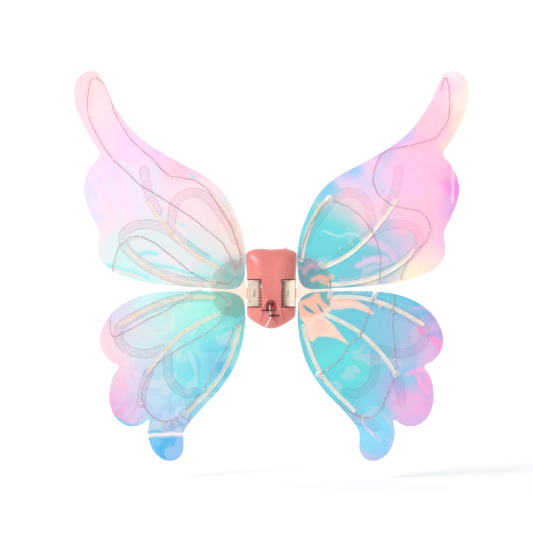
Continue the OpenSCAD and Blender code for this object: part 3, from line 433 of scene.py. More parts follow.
bandRoutes = {
    "upper": [
        [[95, 12], [143, 15], [193, 34], [226, 57], [243, 77], [242, 95], [229, 107], [205, 112],
        [181, 108],
         [158, 96], [129, 74], [98, 54]],
        [[161, 104], [158, 121], [152, 148], [135, 164], [112, 167], [90, 155], [71, 130], [53, 107],
        [44, 84]],
        [[183, 134], [193, 151], [203, 178], [207, 204]]],
    "lower": [
        [[96, -14], [118, -14], [161, -21], [200, -36], [231, -51], [249, -64], [253, -78], [249, -93],
         [236, -104], [216, -111], [195, -111], [174, -104]],
        [[164, -113], [165, -135], [161, -157], [148, -173], [131, -182], [116, -179]],
        [[199, -145], [206, -160], [211, -182], [212, -197]],
        [[131, -226], [150, -232], [166, -238]]]}
bandLook = dict(width=15, depth=0.6)
rootShape = [[26.6, 12], [29, 32], [31, 50], [50, 51], [69, 42], [84, 26], [88, 4], [84, -26], [66, -44],
    [40, -52], [29, -46], [26.6, -30]]

# light wires by side, -1 left and 1 right, which differ as they were laid by hand
wireRoutes = {
    -1: [
        [[52, 12], [45, 24], [47, 41], [67, 79], [91, 98], [124, 124], [157, 145], [188, 164],
         [216, 179], [238, 201], [263, 222], [282, 248], [299, 280], [306, 296], [308, 319], [303, 356],
         [294, 364], [278, 352], [267, 329], [261, 305], [244, 275], [232, 258], [214, 241], [193, 225],
         [178, 207], [162, 195], [143, 193], [117, 188], [97, 175], [77, 146], [53, 109], [34, 56],
         [40, 38]],
        [[264, 28], [261, 49], [252, 73], [232, 90], [214, 91], [188, 79], [157, 55], [128, 31],
         [100, 15], [81, 11], [55, 9]],
        [[26, -50], [46, -67], [60, -101], [83, -141], [102, -174], [122, -198], [148, -222],
         [164, -230], [183, -227], [198, -216], [212, -197], [212, -177], [205, -158], [188, -131],
         [171, -120],
         [140, -100], [103, -81], [77, -63], [62, -43], [57, -27], [64, -15], [83, -6]],
        [[102, -2], [119, -4], [133, -15], [152, -27], [173, -40], [205, -54], [231, -69],
         [262, -84], [268, -72], [268, -50]]],
    1: [
        [[281, 340], [286, 360], [291, 362], [295, 347], [297, 317], [295, 291], [274, 259],
         [228, 247], [190, 241], [175, 231], [164, 207], [161, 185], [171, 162], [195, 144], [244, 134],
         [260, 118], [263, 101], [255, 80], [235, 63], [217, 37], [210, 16]],
        [[173, 10], [174, 27], [175, 53], [169, 79], [158, 103], [139, 127], [118, 142], [84, 156],
         [69, 142], [49, 109], [35, 74], [31, 52], [50, 51], [69, 41], [84, 26], [86, 0], [87, -9],
         [80, -34]],
        [[169, -6], [162, -18], [155, -40], [146, -65], [138, -82], [118, -98], [106, -121],
         [80, -141], [62, -152]],
        [[201, -11], [197, -40], [197, -73], [200, -100], [201, -121], [206, -142], [197, -160],
         [186, -184], [176, -208], [160, -223], [144, -222], [120, -214], [97, -195]]]}
# tape patches over the wires: where, and how far each is turned in degrees
tapePlaces = {
    1: [[71, 41, -40], [86, -8, 80], [84, 156, 10], [200, 150, 60], [166, -10, 70], [203, -146, 40],
        [66, -150, -30]],
    -1: [[110, 2, -5], [86, 12, 5], [130, -13, 30], [135, -217, 35], [232, 90, 0], [150, 194, 0]]}

# Soft tints of each film: where, how far it spreads, and the colour
tints = {
    "left_upper": [
        (323, 363, 26, "#FDD0DA"), (338, 332, 24, "#F9C8EA"), (294, 321, 26, "#FBD9E2"),
        (272, 276, 30, "#F7D0EC"),
        (232, 244, 28, "#F3CBF3"), (178, 232, 16, "#F0B8EC"), (145, 212, 16, "#F5B2D9"),
        (243, 195, 34, "#F1D3F5"),
        (200, 190, 28, "#EFD9F5"), (323, 174, 20, "#D2CEFC"), (313, 142, 18, "#C6D8FE"),
        (280, 146, 26, "#F2D8F1"),
        (127, 139, 30, "#EED7E8"), (76, 111, 22, "#EDD7E0"), (43, 94, 18, "#F3D8D4"),
        (294, 76, 20, "#F1DDEC"),
        (262, 41, 22, "#CBEDF1"), (225, 22, 22, "#B9EAF0"), (152, 59, 26, "#E2E2EC"),
        (200, 62, 26, "#D9E4EE"),
        (116, 76, 24, "#D9DFE8"), (98, 13, 20, "#BADDE1"), (40, 10, 14, "#83D6DA"),
        (40, 32, 14, "#B3C6D6")],
    "right_upper": [
        (94, 110, 22, "#4ECFD8"), (83, 67, 22, "#56C6D5"), (142, 34, 22, "#66BAD2"),
        (185, 43, 18, "#7DBBD6"),
        (110, 80, 20, "#58CDD6"), (43, 36, 13, "#66A6C0"), (43, 110, 10, "#70CBDE"),
        (80, 174, 10, "#72BEE8"),
        (125, 207, 9, "#74B6EE"), (180, 240, 10, "#C9A8EC"), (222, 270, 10, "#B4B4F4"),
        (149, 185, 26, "#D8C3EC"),
        (190, 190, 24, "#E4C0EA"), (222, 197, 26, "#F2B4E0"), (258, 218, 24, "#FBB0D6"),
        (273, 284, 24, "#FCB9D6"),
        (290, 340, 20, "#F9C4E2"), (300, 374, 12, "#FCE9F2"), (318, 330, 14, "#FBE9D6"),
        (312, 286, 12, "#FCE0C2"),
        (296, 246, 10, "#F9DCCB"), (312, 172, 12, "#DD78DC"), (303, 196, 12, "#F09AD8"),
        (297, 134, 14, "#D39BE4"),
        (284, 88, 16, "#E3B2DE"), (258, 120, 26, "#F7B6D4"), (240, 88, 20, "#EDB8DA"),
        (268, 50, 18, "#FBD6D6"),
        (222, 24, 18, "#FCE2CB"), (160, 8, 12, "#F2D6C2"), (113, 138, 18, "#EBC6D2"),
        (149, 130, 20, "#EEC6D8"),
        (207, 125, 22, "#EBB9DC"), (175, 92, 16, "#A6BDDC"), (215, 78, 14, "#B9B6DE")],
    "left_lower": [
        (44, -28, 16, "#82CBCD"), (93, -34, 20, "#80E9DF"), (135, -43, 24, "#A9ECE8"),
        (184, -49, 24, "#C2E1EA"),
        (205, -86, 24, "#C5DFE9"), (154, -8, 14, "#ABE6EC"), (199, -14, 14, "#C6EBF5"),
        (255, -38, 18, "#D8D0EE"),
        (281, -72, 16, "#F3C9E2"), (287, -101, 18, "#FACDDE"), (263, -124, 18, "#FACADF"),
        (229, -78, 22, "#D4D2E8"),
        (254, -151, 20, "#E6C6E8"), (245, -168, 18, "#EEBAE0"), (270, -200, 18, "#E39DD8"),
        (232, -212, 16, "#D0B2E4"),
        (202, -165, 24, "#C2CFEB"), (190, -206, 18, "#AFC6EF"), (160, -171, 22, "#92D8EB"),
        (123, -153, 22, "#62D7E9"),
        (93, -121, 20, "#55BEE8"), (81, -142, 14, "#37B1E6"), (111, -92, 22, "#7BE4E5"),
        (135, -107, 22, "#98DFE8"),
        (47, -63, 14, "#62D4DB"), (30, -57, 10, "#70CCD8"), (44, -130, 12, "#7ED2DD"),
        (75, -183, 16, "#78CCE3"),
        (111, -216, 14, "#80C9E8"), (154, -218, 16, "#8FBDEC"), (184, -238, 14, "#98C6E9")],
    "right_lower": [
        (104, -113, 24, "#52D3D8"), (134, -142, 24, "#56CFD8"), (104, -165, 20, "#49CADA"),
        (88, -78, 18, "#57BFD1"),
        (134, -63, 20, "#5ABCD8"), (179, -63, 22, "#7AB9DC"), (225, -63, 18, "#9BB2DB"),
        (240, -90, 16, "#B2A6DA"),
        (190, -9, 18, "#53BEDA"), (243, -24, 14, "#57ADDA"), (273, -43, 12, "#A893DE"),
        (283, -75, 10, "#B09ADF"),
        (261, -119, 14, "#D4A4DE"), (225, -113, 16, "#9FB6E0"), (170, -116, 18, "#70BBDA"),
        (182, -165, 14, "#ABA4DE"),
        (158, -189, 18, "#70C5E4"), (225, -154, 14, "#7BBCE8"), (255, -171, 14, "#E59ADA"),
        (225, -200, 18, "#EFA2DA"),
        (237, -229, 12, "#C5AAE2"), (265, -189, 12, "#D39DE0"), (207, -180, 12, "#BBA5E2"),
        (164, -247, 18, "#74CCEF"),
        (146, -267, 14, "#79CFF2"), (188, -268, 12, "#7BC2EF"), (158, -296, 14, "#92BCEF"),
        (36, -101, 12, "#64C0D1"),
        (70, -171, 14, "#70C1DB"), (119, -216, 14, "#6BBCDB"), (104, -8, 14, "#6DC3D7"),
        (50, -30, 14, "#6AB9CB")]}

# Folds and swirls: a line, its half width, softness and colour
folds = {
    "left_upper": [
        ([(214, 62), (200, 64), (184, 59)], 2.6, 2.5, "#86E2EF"), ([(192, 44), (150, 33), (112, 25),
        (76, 17)], 2.4, 2.5, "#8CE4EE"),
        ([(128, 81), (104, 62), (83, 48), (43, 27)], 3, 4, "#93E2EC"), ([(272, 41), (236, 32),
        (200, 20)], 2, 3, "#8FE2EC"),
        ([(268, 34), (230, 24), (208, 19)], 1.6, 2, "#F9D8E0"), ([(60, 22), (44, 18),
        (34, 24)], 3, 3, "#6FD8E2"),
        ([(151, 119), (143, 113), (136, 110)], 1.6, 2, "#9CE4EE"), ([(124, 198),
        (118, 193)], 2.4, 1.5, "#8CD6EC")],
    "right_upper": [
        ([(73, 102), (98, 90), (124, 96), (149, 86), (174, 74), (185, 64)], 1.6, 2.4, "#B7DCE2"),
        ([(150, 86), (172, 76), (190, 66), (196, 56)], 6.5, 4, "#D3B9DE"), ([(136, 41), (158, 50),
        (184, 50)], 5.5, 3, "#CDBBE0"),
        ([(149, 32), (185, 42), (222, 60), (246, 76)], 1.4, 2, "#CBC4E6"), ([(100, 16), (150, 22),
        (200, 36)], 3, 3, "#8FCBDC"),
        ([(54, 15), (66, 19), (78, 16), (86, 20)], 5, 2, "#F5BDB0"), ([(66, 12), (80, 8),
        (96, 9)], 2.6, 2, "#F2C4B4"),
        ([(36, 30), (48, 40), (62, 36)], 3.6, 3, "#B9A9C6"), ([(96, 142), (84, 158),
        (104, 172)], 3, 6, "#9ED3E4"),
        ([(300, 208), (303, 178), (300, 150)], 1.4, 3, "#FBE0D6")],
    "left_lower": [
        ([(206, -256), (184, -252), (160, -250), (134, -252)], 2.6, 1, "#FDE6EA"), ([(204, -249),
        (176, -246)], 1.4, 1.2, "#46B6E6"),
        ([(266, -134), (256, -128)], 2, 3, "#FBC4DA"), ([(268, -163), (236, -168)], 2, 4, "#F3B4DA"),
        ([(135, -232), (150, -216), (140, -206)], 3, 4, "#C4D8F0")],
    "right_lower": [
        ([(231, -34), (249, -31), (264, -40), (277, -54)], 2.6, 1.6, "#CF92DA"), ([(222, -148),
        (236, -142), (252, -141), (262, -160)], 4, 1.8, "#EB9EDD"),
        ([(240, -150), (246, -164), (256, -176)], 4, 2, "#F09FDB"), ([(138, -280), (152, -291),
        (170, -302)], 1.5, 1, "#E2B2E6"),
        ([(136, -272), (154, -286), (176, -296)], 1, 1, "#CFB6EA"), ([(143, -229), (150, -240),
        (164, -253)], 1.8, 1.4, "#F3BAE4"),
        ([(207, -202), (214, -204), (226, -198)], 1.4, 1.5, "#F6A9DA"), ([(243, -66),
        (249, -74)], 4.6, 2, "#E288BE")]}
# Patches with a closed edge: the edge, its softness and colour
patches = {
    "right_lower": [
        ([(28, -25), (52, -14), (64, -8), (73, -22), (88, -34), (73, -46), (82, -54), (100, -75),
          (118, -96), (94, -86), (67, -82), (52, -92), (43, -78), (40, -63), (31, -49)],1.1, "#FBC8BB"),
        ([(87, -16), (116, -18), (134, -22), (149, -30), (165, -44), (140, -37), (116, -34),
        (88, -34)], 1.1, "#FBC6BB"),
        ([(167, -18), (181, -22), (173, -34)], 1, "#F0B8B8"),
        ([(34, -29), (40, -30), (57, -44), (48, -43), (38, -37)], 0.9, "#63B3C9"),
        ([(60, -26), (66, -29), (75, -44), (66, -40)], 0.9, "#5FB5CE"),
        ([(261, -84), (273, -84), (284, -91), (280, -107), (270, -98)], 1.6, "#F689CC"),
        ([(56, -60), (66, -52), (76, -58), (78, -72), (66, -80), (56, -72)], 1, "#F9BDB3")],
    "right_upper": [([(27, 8), (40, 4), (52, 8), (44, 20), (30, 26)], 2, "#6FA3BE")],
    "left_lower": [
        ([(206, -258), (134, -256), (130, -310), (210, -310)], 0.8, "#35AEEF"),
        ([(262, -219), (246, -226), (222, -236), (200, -228), (206, -250), (262, -246)], 3, "#62C8E8")]}


def smooth(edge, soft):
    t = np.clip(edge / soft * 0.5 + 0.5, 0, 1)
    return t * t * (3 - 2 * t)


def paint(points, name):
    # blends the soft tints and lays folds and patches over them; points waver so that no edge is straight
    u, z = points[:, 0], points[:, 1]
    wavered = points + np.stack([3.2 * np.sin(z / 11 + u / 29) + 1.3 * np.sin(z / 4.7),
                                 3.0 * np.sin(u / 13 - z / 31) + 1.2 * np.sin(u / 5.3)], 1)
    total, weight = np.zeros((len(points), 3)), np.zeros(len(points))
    for (x, y, reach, text) in tints[name]:
        w = np.exp(-((wavered - [x, y]) ** 2).sum(1) / (2 * reach ** 2)) + 1e-12
        total += w[:, None] * hexParts(text)
        weight += w
    colour = total / weight[:, None]
    near = points + (wavered - points) * 0.35
    for line, half, soft, text in folds.get(name, []):
        mask = smooth(half - distanceTo(near, openCurve(line, 4)), soft)[:, None] * 0.9
        colour = colour * (1 - mask) + mask * hexParts(text)
    for ring, soft, text in patches.get(name, []):
        ring = closedCurve(ring, 4) if len(ring) > 4 else np.array(ring, float)
        edge = distanceTo(near, ring, True) * np.where(isInside(near, ring), 1, -1)
        mask = smooth(edge, soft)[:, None]
        colour = colour * (1 - mask) + mask * hexParts(text)
    return np.clip(toLinear(colour), 0, 1)


def makeFilms(materials):
    for side, word in ((1, "right"), (-1, "left")):
        for part, outline in (("upper", upperOutline), ("lower", lowerOutline)):
            name = f"{word}_{part}"
            ring = closedCurve(outline, 4)
            flat, faces = filled(ring, film["pitch"])
            points = onWing(side, np.stack([flat[:, 0], np.zeros(len(flat)), flat[:, 1]], 1))
            made = newObject(f"{name}Film", points, faces, materials[f"{word}Film"], f"{word}_wing")
            setAttribute(made, "tint", paint(flat, name))
            setAttribute(made, "rim", distanceTo(flat, ring, True))
            edge = np.min([distanceTo(flat, openCurve(r, 3)) for r in bandRoutes[part]], 0)
            edge -= bandLook["width"] / 2
            clear = distanceTo(flat, rootShape, True) * np.where(isInside(flat, rootShape), -1, 1)
            setAttribute(made, "band", np.maximum(edge, -clear))
            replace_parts(made, f"{name}_film")


def stretchedEnds(line, more):
    # the line with both ends carried on straight, and how wide a strip with round ends is along it
    line = np.array(line, float)
    first = line[0] - (line[1] - line[0]) / np.linalg.norm(line[1] - line[0]) * more
    final = line[-1] + (line[-1] - line[-2]) / np.linalg.norm(line[-1] - line[-2]) * more
    line = np.vstack([first, line, final])
    reach = np.concatenate([[0], np.cumsum(np.linalg.norm(np.diff(line, axis=0), axis=1))])
    at = np.unique(np.concatenate([more * (1 - np.cos(np.linspace(0, np.pi / 2, 8))),
                                   np.linspace(more, reach[-1] - more, int(reach[-1] / 2.5)),
                                   reach[-1] - more * (1 - np.cos(np.linspace(0, np.pi / 2, 8)))]))
    line = np.stack([np.interp(at, reach, line[:, k]) for k in range(2)], 1)
    end = np.minimum(at, reach[-1] - at)
    width = np.sqrt(np.clip(1 - (1 - np.clip(end / more, 0.02, 1)) ** 2, 0.02, 1))
    return line, width


def strip(side, line, width, section, v):
    # a section laid along a line on the wing, as wide at each point as the width there says
    points = onWing(side, np.stack([line[:, 0], np.full(len(line), v), line[:, 1]], 1))
    ahead = np.gradient(points, axis=0)
    ahead /= np.linalg.norm(ahead, axis=1)[:, None]
    up = np.array(behind(side))
    made, n = [], len(section)
    for p, d, w in zip(points, ahead, width):
        across = np.cross(d, up)
        across /= np.linalg.norm(across)
        made += [p + across * x * w + up * y for x, y in section]
    faces = [(i * n + j, i * n + (j + 1) % n, (i + 1) * n + (j + 1) % n, (i + 1) * n + j)
             for i in range(len(points) - 1) for j in range(n)]
    faces += [tuple(range(n))[::-1], tuple((len(points) - 1) * n + j for j in range(n))]
    return made, faces


def outward(made):
    work = bmesh.new()
    work.from_mesh(made.data)
    bmesh.ops.recalc_face_normals(work, faces=work.faces)
    work.to_mesh(made.data)
    work.free()
    return made


stayLook = dict(width=8, thick=1.6)


def makeStays(materials):
    half, t = stayLook["width"] / 2, stayLook["thick"] / 2
    # a pressed channel: two rounded walls with a shallow trough between them
    section = [(-half, t), (-half, -t * 0.3), (-half + 0.6, -t * 0.85), (-half + 1.3, -t),
               (-half + 2.1, -t * 0.75), (-1, -t * 0.35)]
    section += [(-x, y) for x, y in section[::-1]]
    for side, word in ((1, "right"), (-1, "left")):
        for name, route in stayRoutes.items():
            line, width = stretchedEnds(openCurve(route, 3), half)
            shape = strip(side, line, width, section, -film["skin"] - 0.05 - t)
            made = newObject(f"{word}_{name}Moulding", *shape, materials["stay"], f"{word}_wing")
            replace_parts(outward(made), f"{word}_{name}")


def makeBands(materials):
    half, t = bandLook["width"] / 2, bandLook["depth"]
    section = [(-half, 0), (-half, t * 0.6), (-half + 1, t), (-half + 2.4, t * 0.7)]
    section += [(-x, y) for x, y in section[::-1]]
    for side, word in ((1, "right"), (-1, "left")):
        for part in ("upper", "lower"):
            parts = []
            for route in bandRoutes[part]:
                line = openCurve(route, 3)
                outside = ~isInside(line, rootShape) & (distanceTo(line, rootShape, True) > half + 1)
                line = line[np.argmax(outside):len(line) - np.argmax(outside[::-1])]
                line, width = stretchedEnds(line, half)
                parts.append(strip(side, line, width, section, 0.35))
            made = newObject(f"{word}_{part}Bands", *joined(parts), materials["band"], f"{word}_wing")
            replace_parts(outward(made), f"{word}_{part}_bands")


wireLook = dict(diameter=1.6, twistPitch=9, step=1.3, gap=0.1)


def makeWires(materials):
    d = wireLook["diameter"]
    v = -film["skin"] - stayLook["thick"] - d / 2 - wireLook["gap"]
    for side, word in ((1, "right"), (-1, "left")):
        parts = []
        for route in wireRoutes[side]:
            line = evenly(np.array(route, float), wireLook["step"])
            points = onWing(side, np.stack([line[:, 0], np.full(len(line), v), line[:, 1]], 1))
            for _ in range(3):
                points[1:-1] = (points[:-2] + 2 * points[1:-1] + points[2:]) / 4
            twist = 2 * np.pi * np.arange(len(points)) * wireLook["step"] / wireLook["twistPitch"]
            for x in (-1, 1):
                parts.append(swept(points, circle(d / 2, 6, x * d / 4), up=behind(side), twist=twist))
        made = newObject(f"{word}LightWires", *joined(parts), materials["wire"], f"{word}_wing")
        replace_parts(outward(made), f"{word}_light_wires")


# Small repeated pieces, placed by a Geometry Nodes tree on a cloud of points

def scatterTree(name):
    tree = bpy.data.node_groups.new(name, "GeometryNodeTree")
    for word, kind in (("Geometry", "Geometry"), ("Piece", "Object"), ("Size Spread", "Float"),
                       ("Seed", "Int"), ("Material", "Material")):
        tree.interface.new_socket(word, in_out="INPUT", socket_type=f"NodeSocket{kind}")
    tree.interface.new_socket("Geometry", in_out="OUTPUT", socket_type="NodeSocketGeometry")
    start, out = addNode(tree, "NodeGroupInput", -700, 0), addNode(tree, "NodeGroupOutput", 700, 0)
    piece = addNode(tree, "GeometryNodeObjectInfo", -450, -150, {"Object": start.outputs["Piece"]})
    less = addNode(tree, "ShaderNodeMath", -450, -350, {1: start.outputs["Size Spread"]}, {0: 1},
                   operation="SUBTRACT")
    size = addNode(tree, "FunctionNodeRandomValue", -250, -350, {
        2: less.outputs[0], "Seed": start.outputs["Seed"]}, {3: 1}, data_type="FLOAT")
    turn = addNode(tree, "GeometryNodeInputNamedAttribute", -250, -550, values={"Name": "turn"},
                   data_type="FLOAT_VECTOR")
    put = addNode(tree, "GeometryNodeInstanceOnPoints", 0, 0, {
        "Points": start.outputs["Geometry"], "Instance": piece.outputs["Geometry"],
        "Rotation": turn.outputs[0], "Scale": size.outputs[1]})
    real = addNode(tree, "GeometryNodeRealizeInstances", 220, 0, {"Geometry": put.outputs["Instances"]})
    finish = addNode(tree, "GeometryNodeSetMaterial", 440, 0, {
        "Geometry": real.outputs["Geometry"], "Material": start.outputs["Material"]})
    tree.links.new(finish.outputs["Geometry"], out.inputs["Geometry"])
    return tree


def scattered(name, tree, points, turns, shape, material, body, spread, seed):
    # one mesh of a shape repeated at the points, each turned by its own angles
    made = newObject(name, points, [], smooth=False)
    layer = made.data.attributes.new("turn", "FLOAT_VECTOR", "POINT")
    layer.data.foreach_set("vector", np.array(turns, np.float32).ravel())
    source = newObject(name + "Shape", *shape)
    outward(source)
    modifier = made.modifiers.new("Scatter", "NODES")
    modifier.node_group = tree
    sockets = {item.name: item.identifier for item in tree.interface.items_tree if item.in_out == "INPUT"}
    settings = {"Piece": source, "Size Spread": float(spread), "Seed": seed, "Material": material}
    for word, value in settings.items():
        modifier[sockets[word]] = value
    bpy.context.view_layer.update()
    mesh = bpy.data.meshes.new_from_object(made.evaluated_get(bpy.context.evaluated_depsgraph_get()))
    made.modifiers.clear()
    made.data = mesh
    made.data.polygons.foreach_set("use_smooth", np.ones(len(mesh.polygons), bool))
    bpy.data.objects.remove(source)
    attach(made, body)
    return made


def lathe(profile, n):
    # a closed solid turned about its own z axis; profile runs from the axis back to the axis
    points, faces, rows = [], [], []
    for r, z in profile:
        rows.append([len(points)] * n if r < 1e-6 else list(range(len(points), len(points) + n)))
        points += [(0, 0, z)] if r < 1e-6 else [
            (r * math.cos(2 * math.pi * k / n), r * math.sin(2 * math.pi * k / n), z) for k in range(n)]
    for a, b in zip(rows, rows[1:]):
        for k in range(n):
            face = [a[k], a[(k + 1) % n], b[(k + 1) % n], b[k]]
            face = [v for i, v in enumerate(face) if v not in face[:i]]
            if len(face) > 2:
                faces.append(face)
    return points, faces


beadLook = dict(diameter=4, every=3, clearOfTape=11, sizeSpread=0.08, seed=5)


def makeBeads(materials, tree):
    d = beadLook["diameter"]
    v = -film["skin"] - stayLook["thick"] - 0.02 - d / 2
    # a drop of epoxy, a little flatter towards the stays
    bulge = [(d / 2 * math.sin(a), -d / 2 * math.cos(a)) for a in np.linspace(0.3, 2.6, 9)]
    profile = [(0, -d / 2)] + bulge + [(0, d * 0.44)]
    for side, word in ((1, "right"), (-1, "left")):
        spots = [p for route in wireRoutes[side] for p in route[1:-1:beadLook["every"]]]
        spots = [p for p in spots
                 if min(math.dist(p, t[:2]) for t in tapePlaces[side]) > beadLook["clearOfTape"]]
        points = onWing(side, [[p[0], v, p[1]] for p in spots])
        turn = (-math.pi / 2, 0, -side * math.radians(film["lean"]))
        made = scattered(f"{word}LightBeads", tree, points, [turn] * len(points), lathe(profile, 20),
                         materials["bead"], f"{word}_wing", beadLook["sizeSpread"], beadLook["seed"])
        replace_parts(made, f"{word}_light_beads")
        print("beads", word, len(spots))


tapeLook = dict(width=14, height=10, thick=0.14, columns=15, rows=11)


def makeTapes(materials):
    # short pieces of clear tape, domed over the wire and pressed down at their edges
    wide, high, half = tapeLook["width"], tapeLook["height"], tapeLook["thick"] / 2
    columns, rows = tapeLook["columns"], tapeLook["rows"]
    front = -film["skin"] - stayLook["thick"] - wireLook["diameter"] - wireLook["gap"]
    for side, word in ((1, "right"), (-1, "left")):
        parts = []
        for k, (u, z, turn) in enumerate(tapePlaces[side]):
            c, s = math.cos(math.radians(turn)), math.sin(math.radians(turn))
            grid = np.array([((i / (columns - 1) - 0.5) * wide, (j / (rows - 1) - 0.5) * high)
                             for j in range(rows) for i in range(columns)])
            at = np.stack([u + grid[:, 0] * c - grid[:, 1] * s, z + grid[:, 0] * s + grid[:, 1] * c], 1)
            near = np.min([distanceTo(at, route) for route in wireRoutes[side]], 0)
            drop = 1.15 * np.clip((near - 0.8) / 4.5, 0, 1) ** 1.3
            crease = 0.16 * np.sin(grid[:, 0] * 1.7 + k * 2.1 + grid[:, 1] * 0.6) * np.clip(near / 3, 0, 1)
            v = front - 0.17 + drop + crease
            outer = onWing(side, np.stack([at[:, 0], v - half, at[:, 1]], 1))
            inner = onWing(side, np.stack([at[:, 0], v + half, at[:, 1]], 1))
            n = len(grid)
            faces = [(j * columns + i, j * columns + i + 1, (j + 1) * columns + i + 1, (j + 1) * columns + i)
                     for j in range(rows - 1) for i in range(columns - 1)]
            loop = list(range(columns)) + [j * columns + columns - 1 for j in range(1, rows)]
            loop += [(rows - 1) * columns + i for i in range(columns - 2, -1, -1)]
            loop += [j * columns for j in range(rows - 2, 0, -1)]
            faces += [tuple(i + n for i in f[::-1]) for f in faces]
            faces += [(a, b, b + n, a + n) for a, b in zip(loop, loop[1:] + loop[:1])]
            parts.append((list(outer) + list(inner), faces))
        made = newObject(f"{word}WireTapes", *joined(parts), materials["tape"], f"{word}_wing")
        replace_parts(outward(made), f"{word}_wire_tapes")


# CAD pieces that keep their own mesh: a material, and edges rounded by a small bevel

def dress(node, material, bevelMm=0):
    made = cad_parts[node]
    made.data.materials.clear()
    made.data.materials.append(material)
    made.data.polygons.foreach_set("material_index", np.zeros(len(made.data.polygons), np.int32))
    if bevelMm:
        edge = made.modifiers.new("Edges", "BEVEL")
        edge.width, edge.segments, edge.limit_method = bevelMm * mm, 2, "ANGLE"
        edge.angle_limit, edge.harden_normals = math.radians(38), False
    return made


# Housing

housingLook = dict(height=141, width=90, depth=44, backDepth=16, wall=2.2, crownIn=30, crownPower=2.2,
                   pitch=1.5, notchX=17.2, hingeX=20.5, hingeY=-25, hingeHole=3.4, lensHole=4.1,
                   screwHole=2.8, leadHole=3.4)


def housingOutline():
    h, w = housingLook["height"] / 2, housingLook["width"] / 2
    half = [[0, h - 1.5], [14, h - 0.4], [27, h - 0.6], [37, h - 3.5], [w - 2, h - 7.5], [w, h - 15],
            [w - 2, 18], [w - 2.3, -15], [w - 2.5, -h + 25], [w - 8, -h + 17], [24, -h + 8],
            [12, -h + 2.3], [0, -h]]
    return closedCurve(half + [[-x, z] for x, z in half[-2:0:-1]], 3)


def crownDepth(inside, wall=0):
    # how far in front of the seam the crown stands at a distance inside its outline
    share = np.clip((inside - wall) / housingLook["crownIn"], 0, 1)
    power = housingLook["crownPower"]
    full = housingLook["depth"] - housingLook["backDepth"] - wall
    return full * (1 - (1 - share) ** power) ** (1 / power)


def crownSolid(wall, back):
    # a closed solid: close rings by the steep edge, then a grid that is relaxed so that no ridge shows
    outline = housingOutline()
    edge = evenly(np.vstack([outline, outline[:1]]), housingLook["pitch"])[:-1]
    ahead = np.roll(edge, -1, 0) - np.roll(edge, 1, 0)
    inward = np.stack([-ahead[:, 1], ahead[:, 0]], 1) / np.linalg.norm(ahead, axis=1)[:, None]
    if not isInside((edge + inward)[:1], edge)[0]:
        inward = -inward
    steps = [wall + d for d in (0, 0.04, 0.16, 0.4, 0.8, 1.4, 2.2, 3.2, 4.4, 5.8)]
    n, points, faces = len(edge), [], []
    for d in steps:
        ring = edge + inward * d
        y = -housingLook["backDepth"] - crownDepth(np.full(n, d), wall)
        points += list(np.stack([ring[:, 0], y, ring[:, 1]], 1))
    for k in range(len(steps) - 1):
        faces += [(k * n + i, k * n + (i + 1) % n, (k + 1) * n + (i + 1) % n, (k + 1) * n + i)
                  for i in range(n)]
    inner = edge + inward * steps[-1]
    flat, tops = filled(inner, housingLook["pitch"] * 1.25, keepEdge=True)
    inside = distanceTo(flat, edge, True)
    y = -housingLook["backDepth"] - crownDepth(inside, wall)
    links = np.array([(f[i], f[(i + 1) % len(f)]) for f in tops for i in range(len(f))])
    loose = inside > steps[-1] + 1
    for _ in range(60):
        total, count = np.zeros(len(y)), np.zeros(len(y))
        np.add.at(total, links[:, 0], y[links[:, 1]])
        np.add.at(count, links[:, 0], 1)
        np.add.at(total, links[:, 1], y[links[:, 0]])
        np.add.at(count, links[:, 1], 1)
        y = np.where(loose, 0.5 * y + 0.5 * total / np.maximum(count, 1), y)
    first, base = (len(steps) - 1) * n, len(points)
    index = {k: (first + k if k < n else base + k - n) for k in range(len(flat))}
    points += [(flat[k][0], y[k], flat[k][1]) for k in range(n, len(flat))]
    faces += [tuple(index[v] for v in f) for f in tops]
    seat = len(points)
    ring = edge + inward * steps[0]
    points += [(x, back, z) for x, z in ring]
    faces += [(seat + i, seat + (i + 1) % n, (i + 1) % n, i) for i in range(n)]
    faces.append(tuple(range(seat, seat + n))[::-1])
    return points, faces


def boxShape(a, b):
    p = [(x, y, z) for x in (a[0], b[0]) for y in (a[1], b[1]) for z in (a[2], b[2])]
    return p, [(0, 1, 3, 2), (4, 6, 7, 5), (0, 4, 5, 1), (2, 3, 7, 6), (0, 2, 6, 4), (1, 5, 7, 3)]


def rodShape(a, b, d):
    up = (0.12, 0.3, 0.95) if abs(b[2] - a[2]) < 1 else (1, 0.1, 0)
    return swept(np.array([a, b], float), circle(d, 32), up)


def slabShape(ring, y0, y1):
    n = len(ring)
    points = [(x, y0, z) for x, z in ring] + [(x, y1, z) for x, z in ring]
    faces = [(i, (i + 1) % n, n + (i + 1) % n, n + i) for i in range(n)]
    return points, faces + [tuple(range(n))[::-1], tuple(range(n, 2 * n))]


def archRing(grow, bottom, radius=9.5, middle=-28.5):
    r = radius + grow
    arc = [(r * math.cos(a), middle + r * math.sin(a)) for a in np.linspace(0, math.pi, 33)]
    return arc + [(-r, bottom), (r, bottom)]


def combined(target, shape, how):
    # joins, cuts or keeps the overlap of a mesh with another closed shape, given as an object or as its mesh
    tool = shape if isinstance(shape, bpy.types.Object) else outward(newObject("tool", *shape))
    step = target.modifiers.new("Combine", "BOOLEAN")
    step.operation, step.solver, step.object = how, "EXACT", tool
    bpy.context.view_layer.update()
    mesh = bpy.data.meshes.new_from_object(target.evaluated_get(bpy.context.evaluated_depsgraph_get()))
    target.modifiers.clear()
    target.data = mesh
    bpy.data.objects.remove(tool)
    return target


def softLook(made, degrees):
    made.data.polygons.foreach_set("use_smooth", np.ones(len(made.data.polygons), bool))
    made.data.set_sharp_from_angle(angle=math.radians(degrees))
    return made


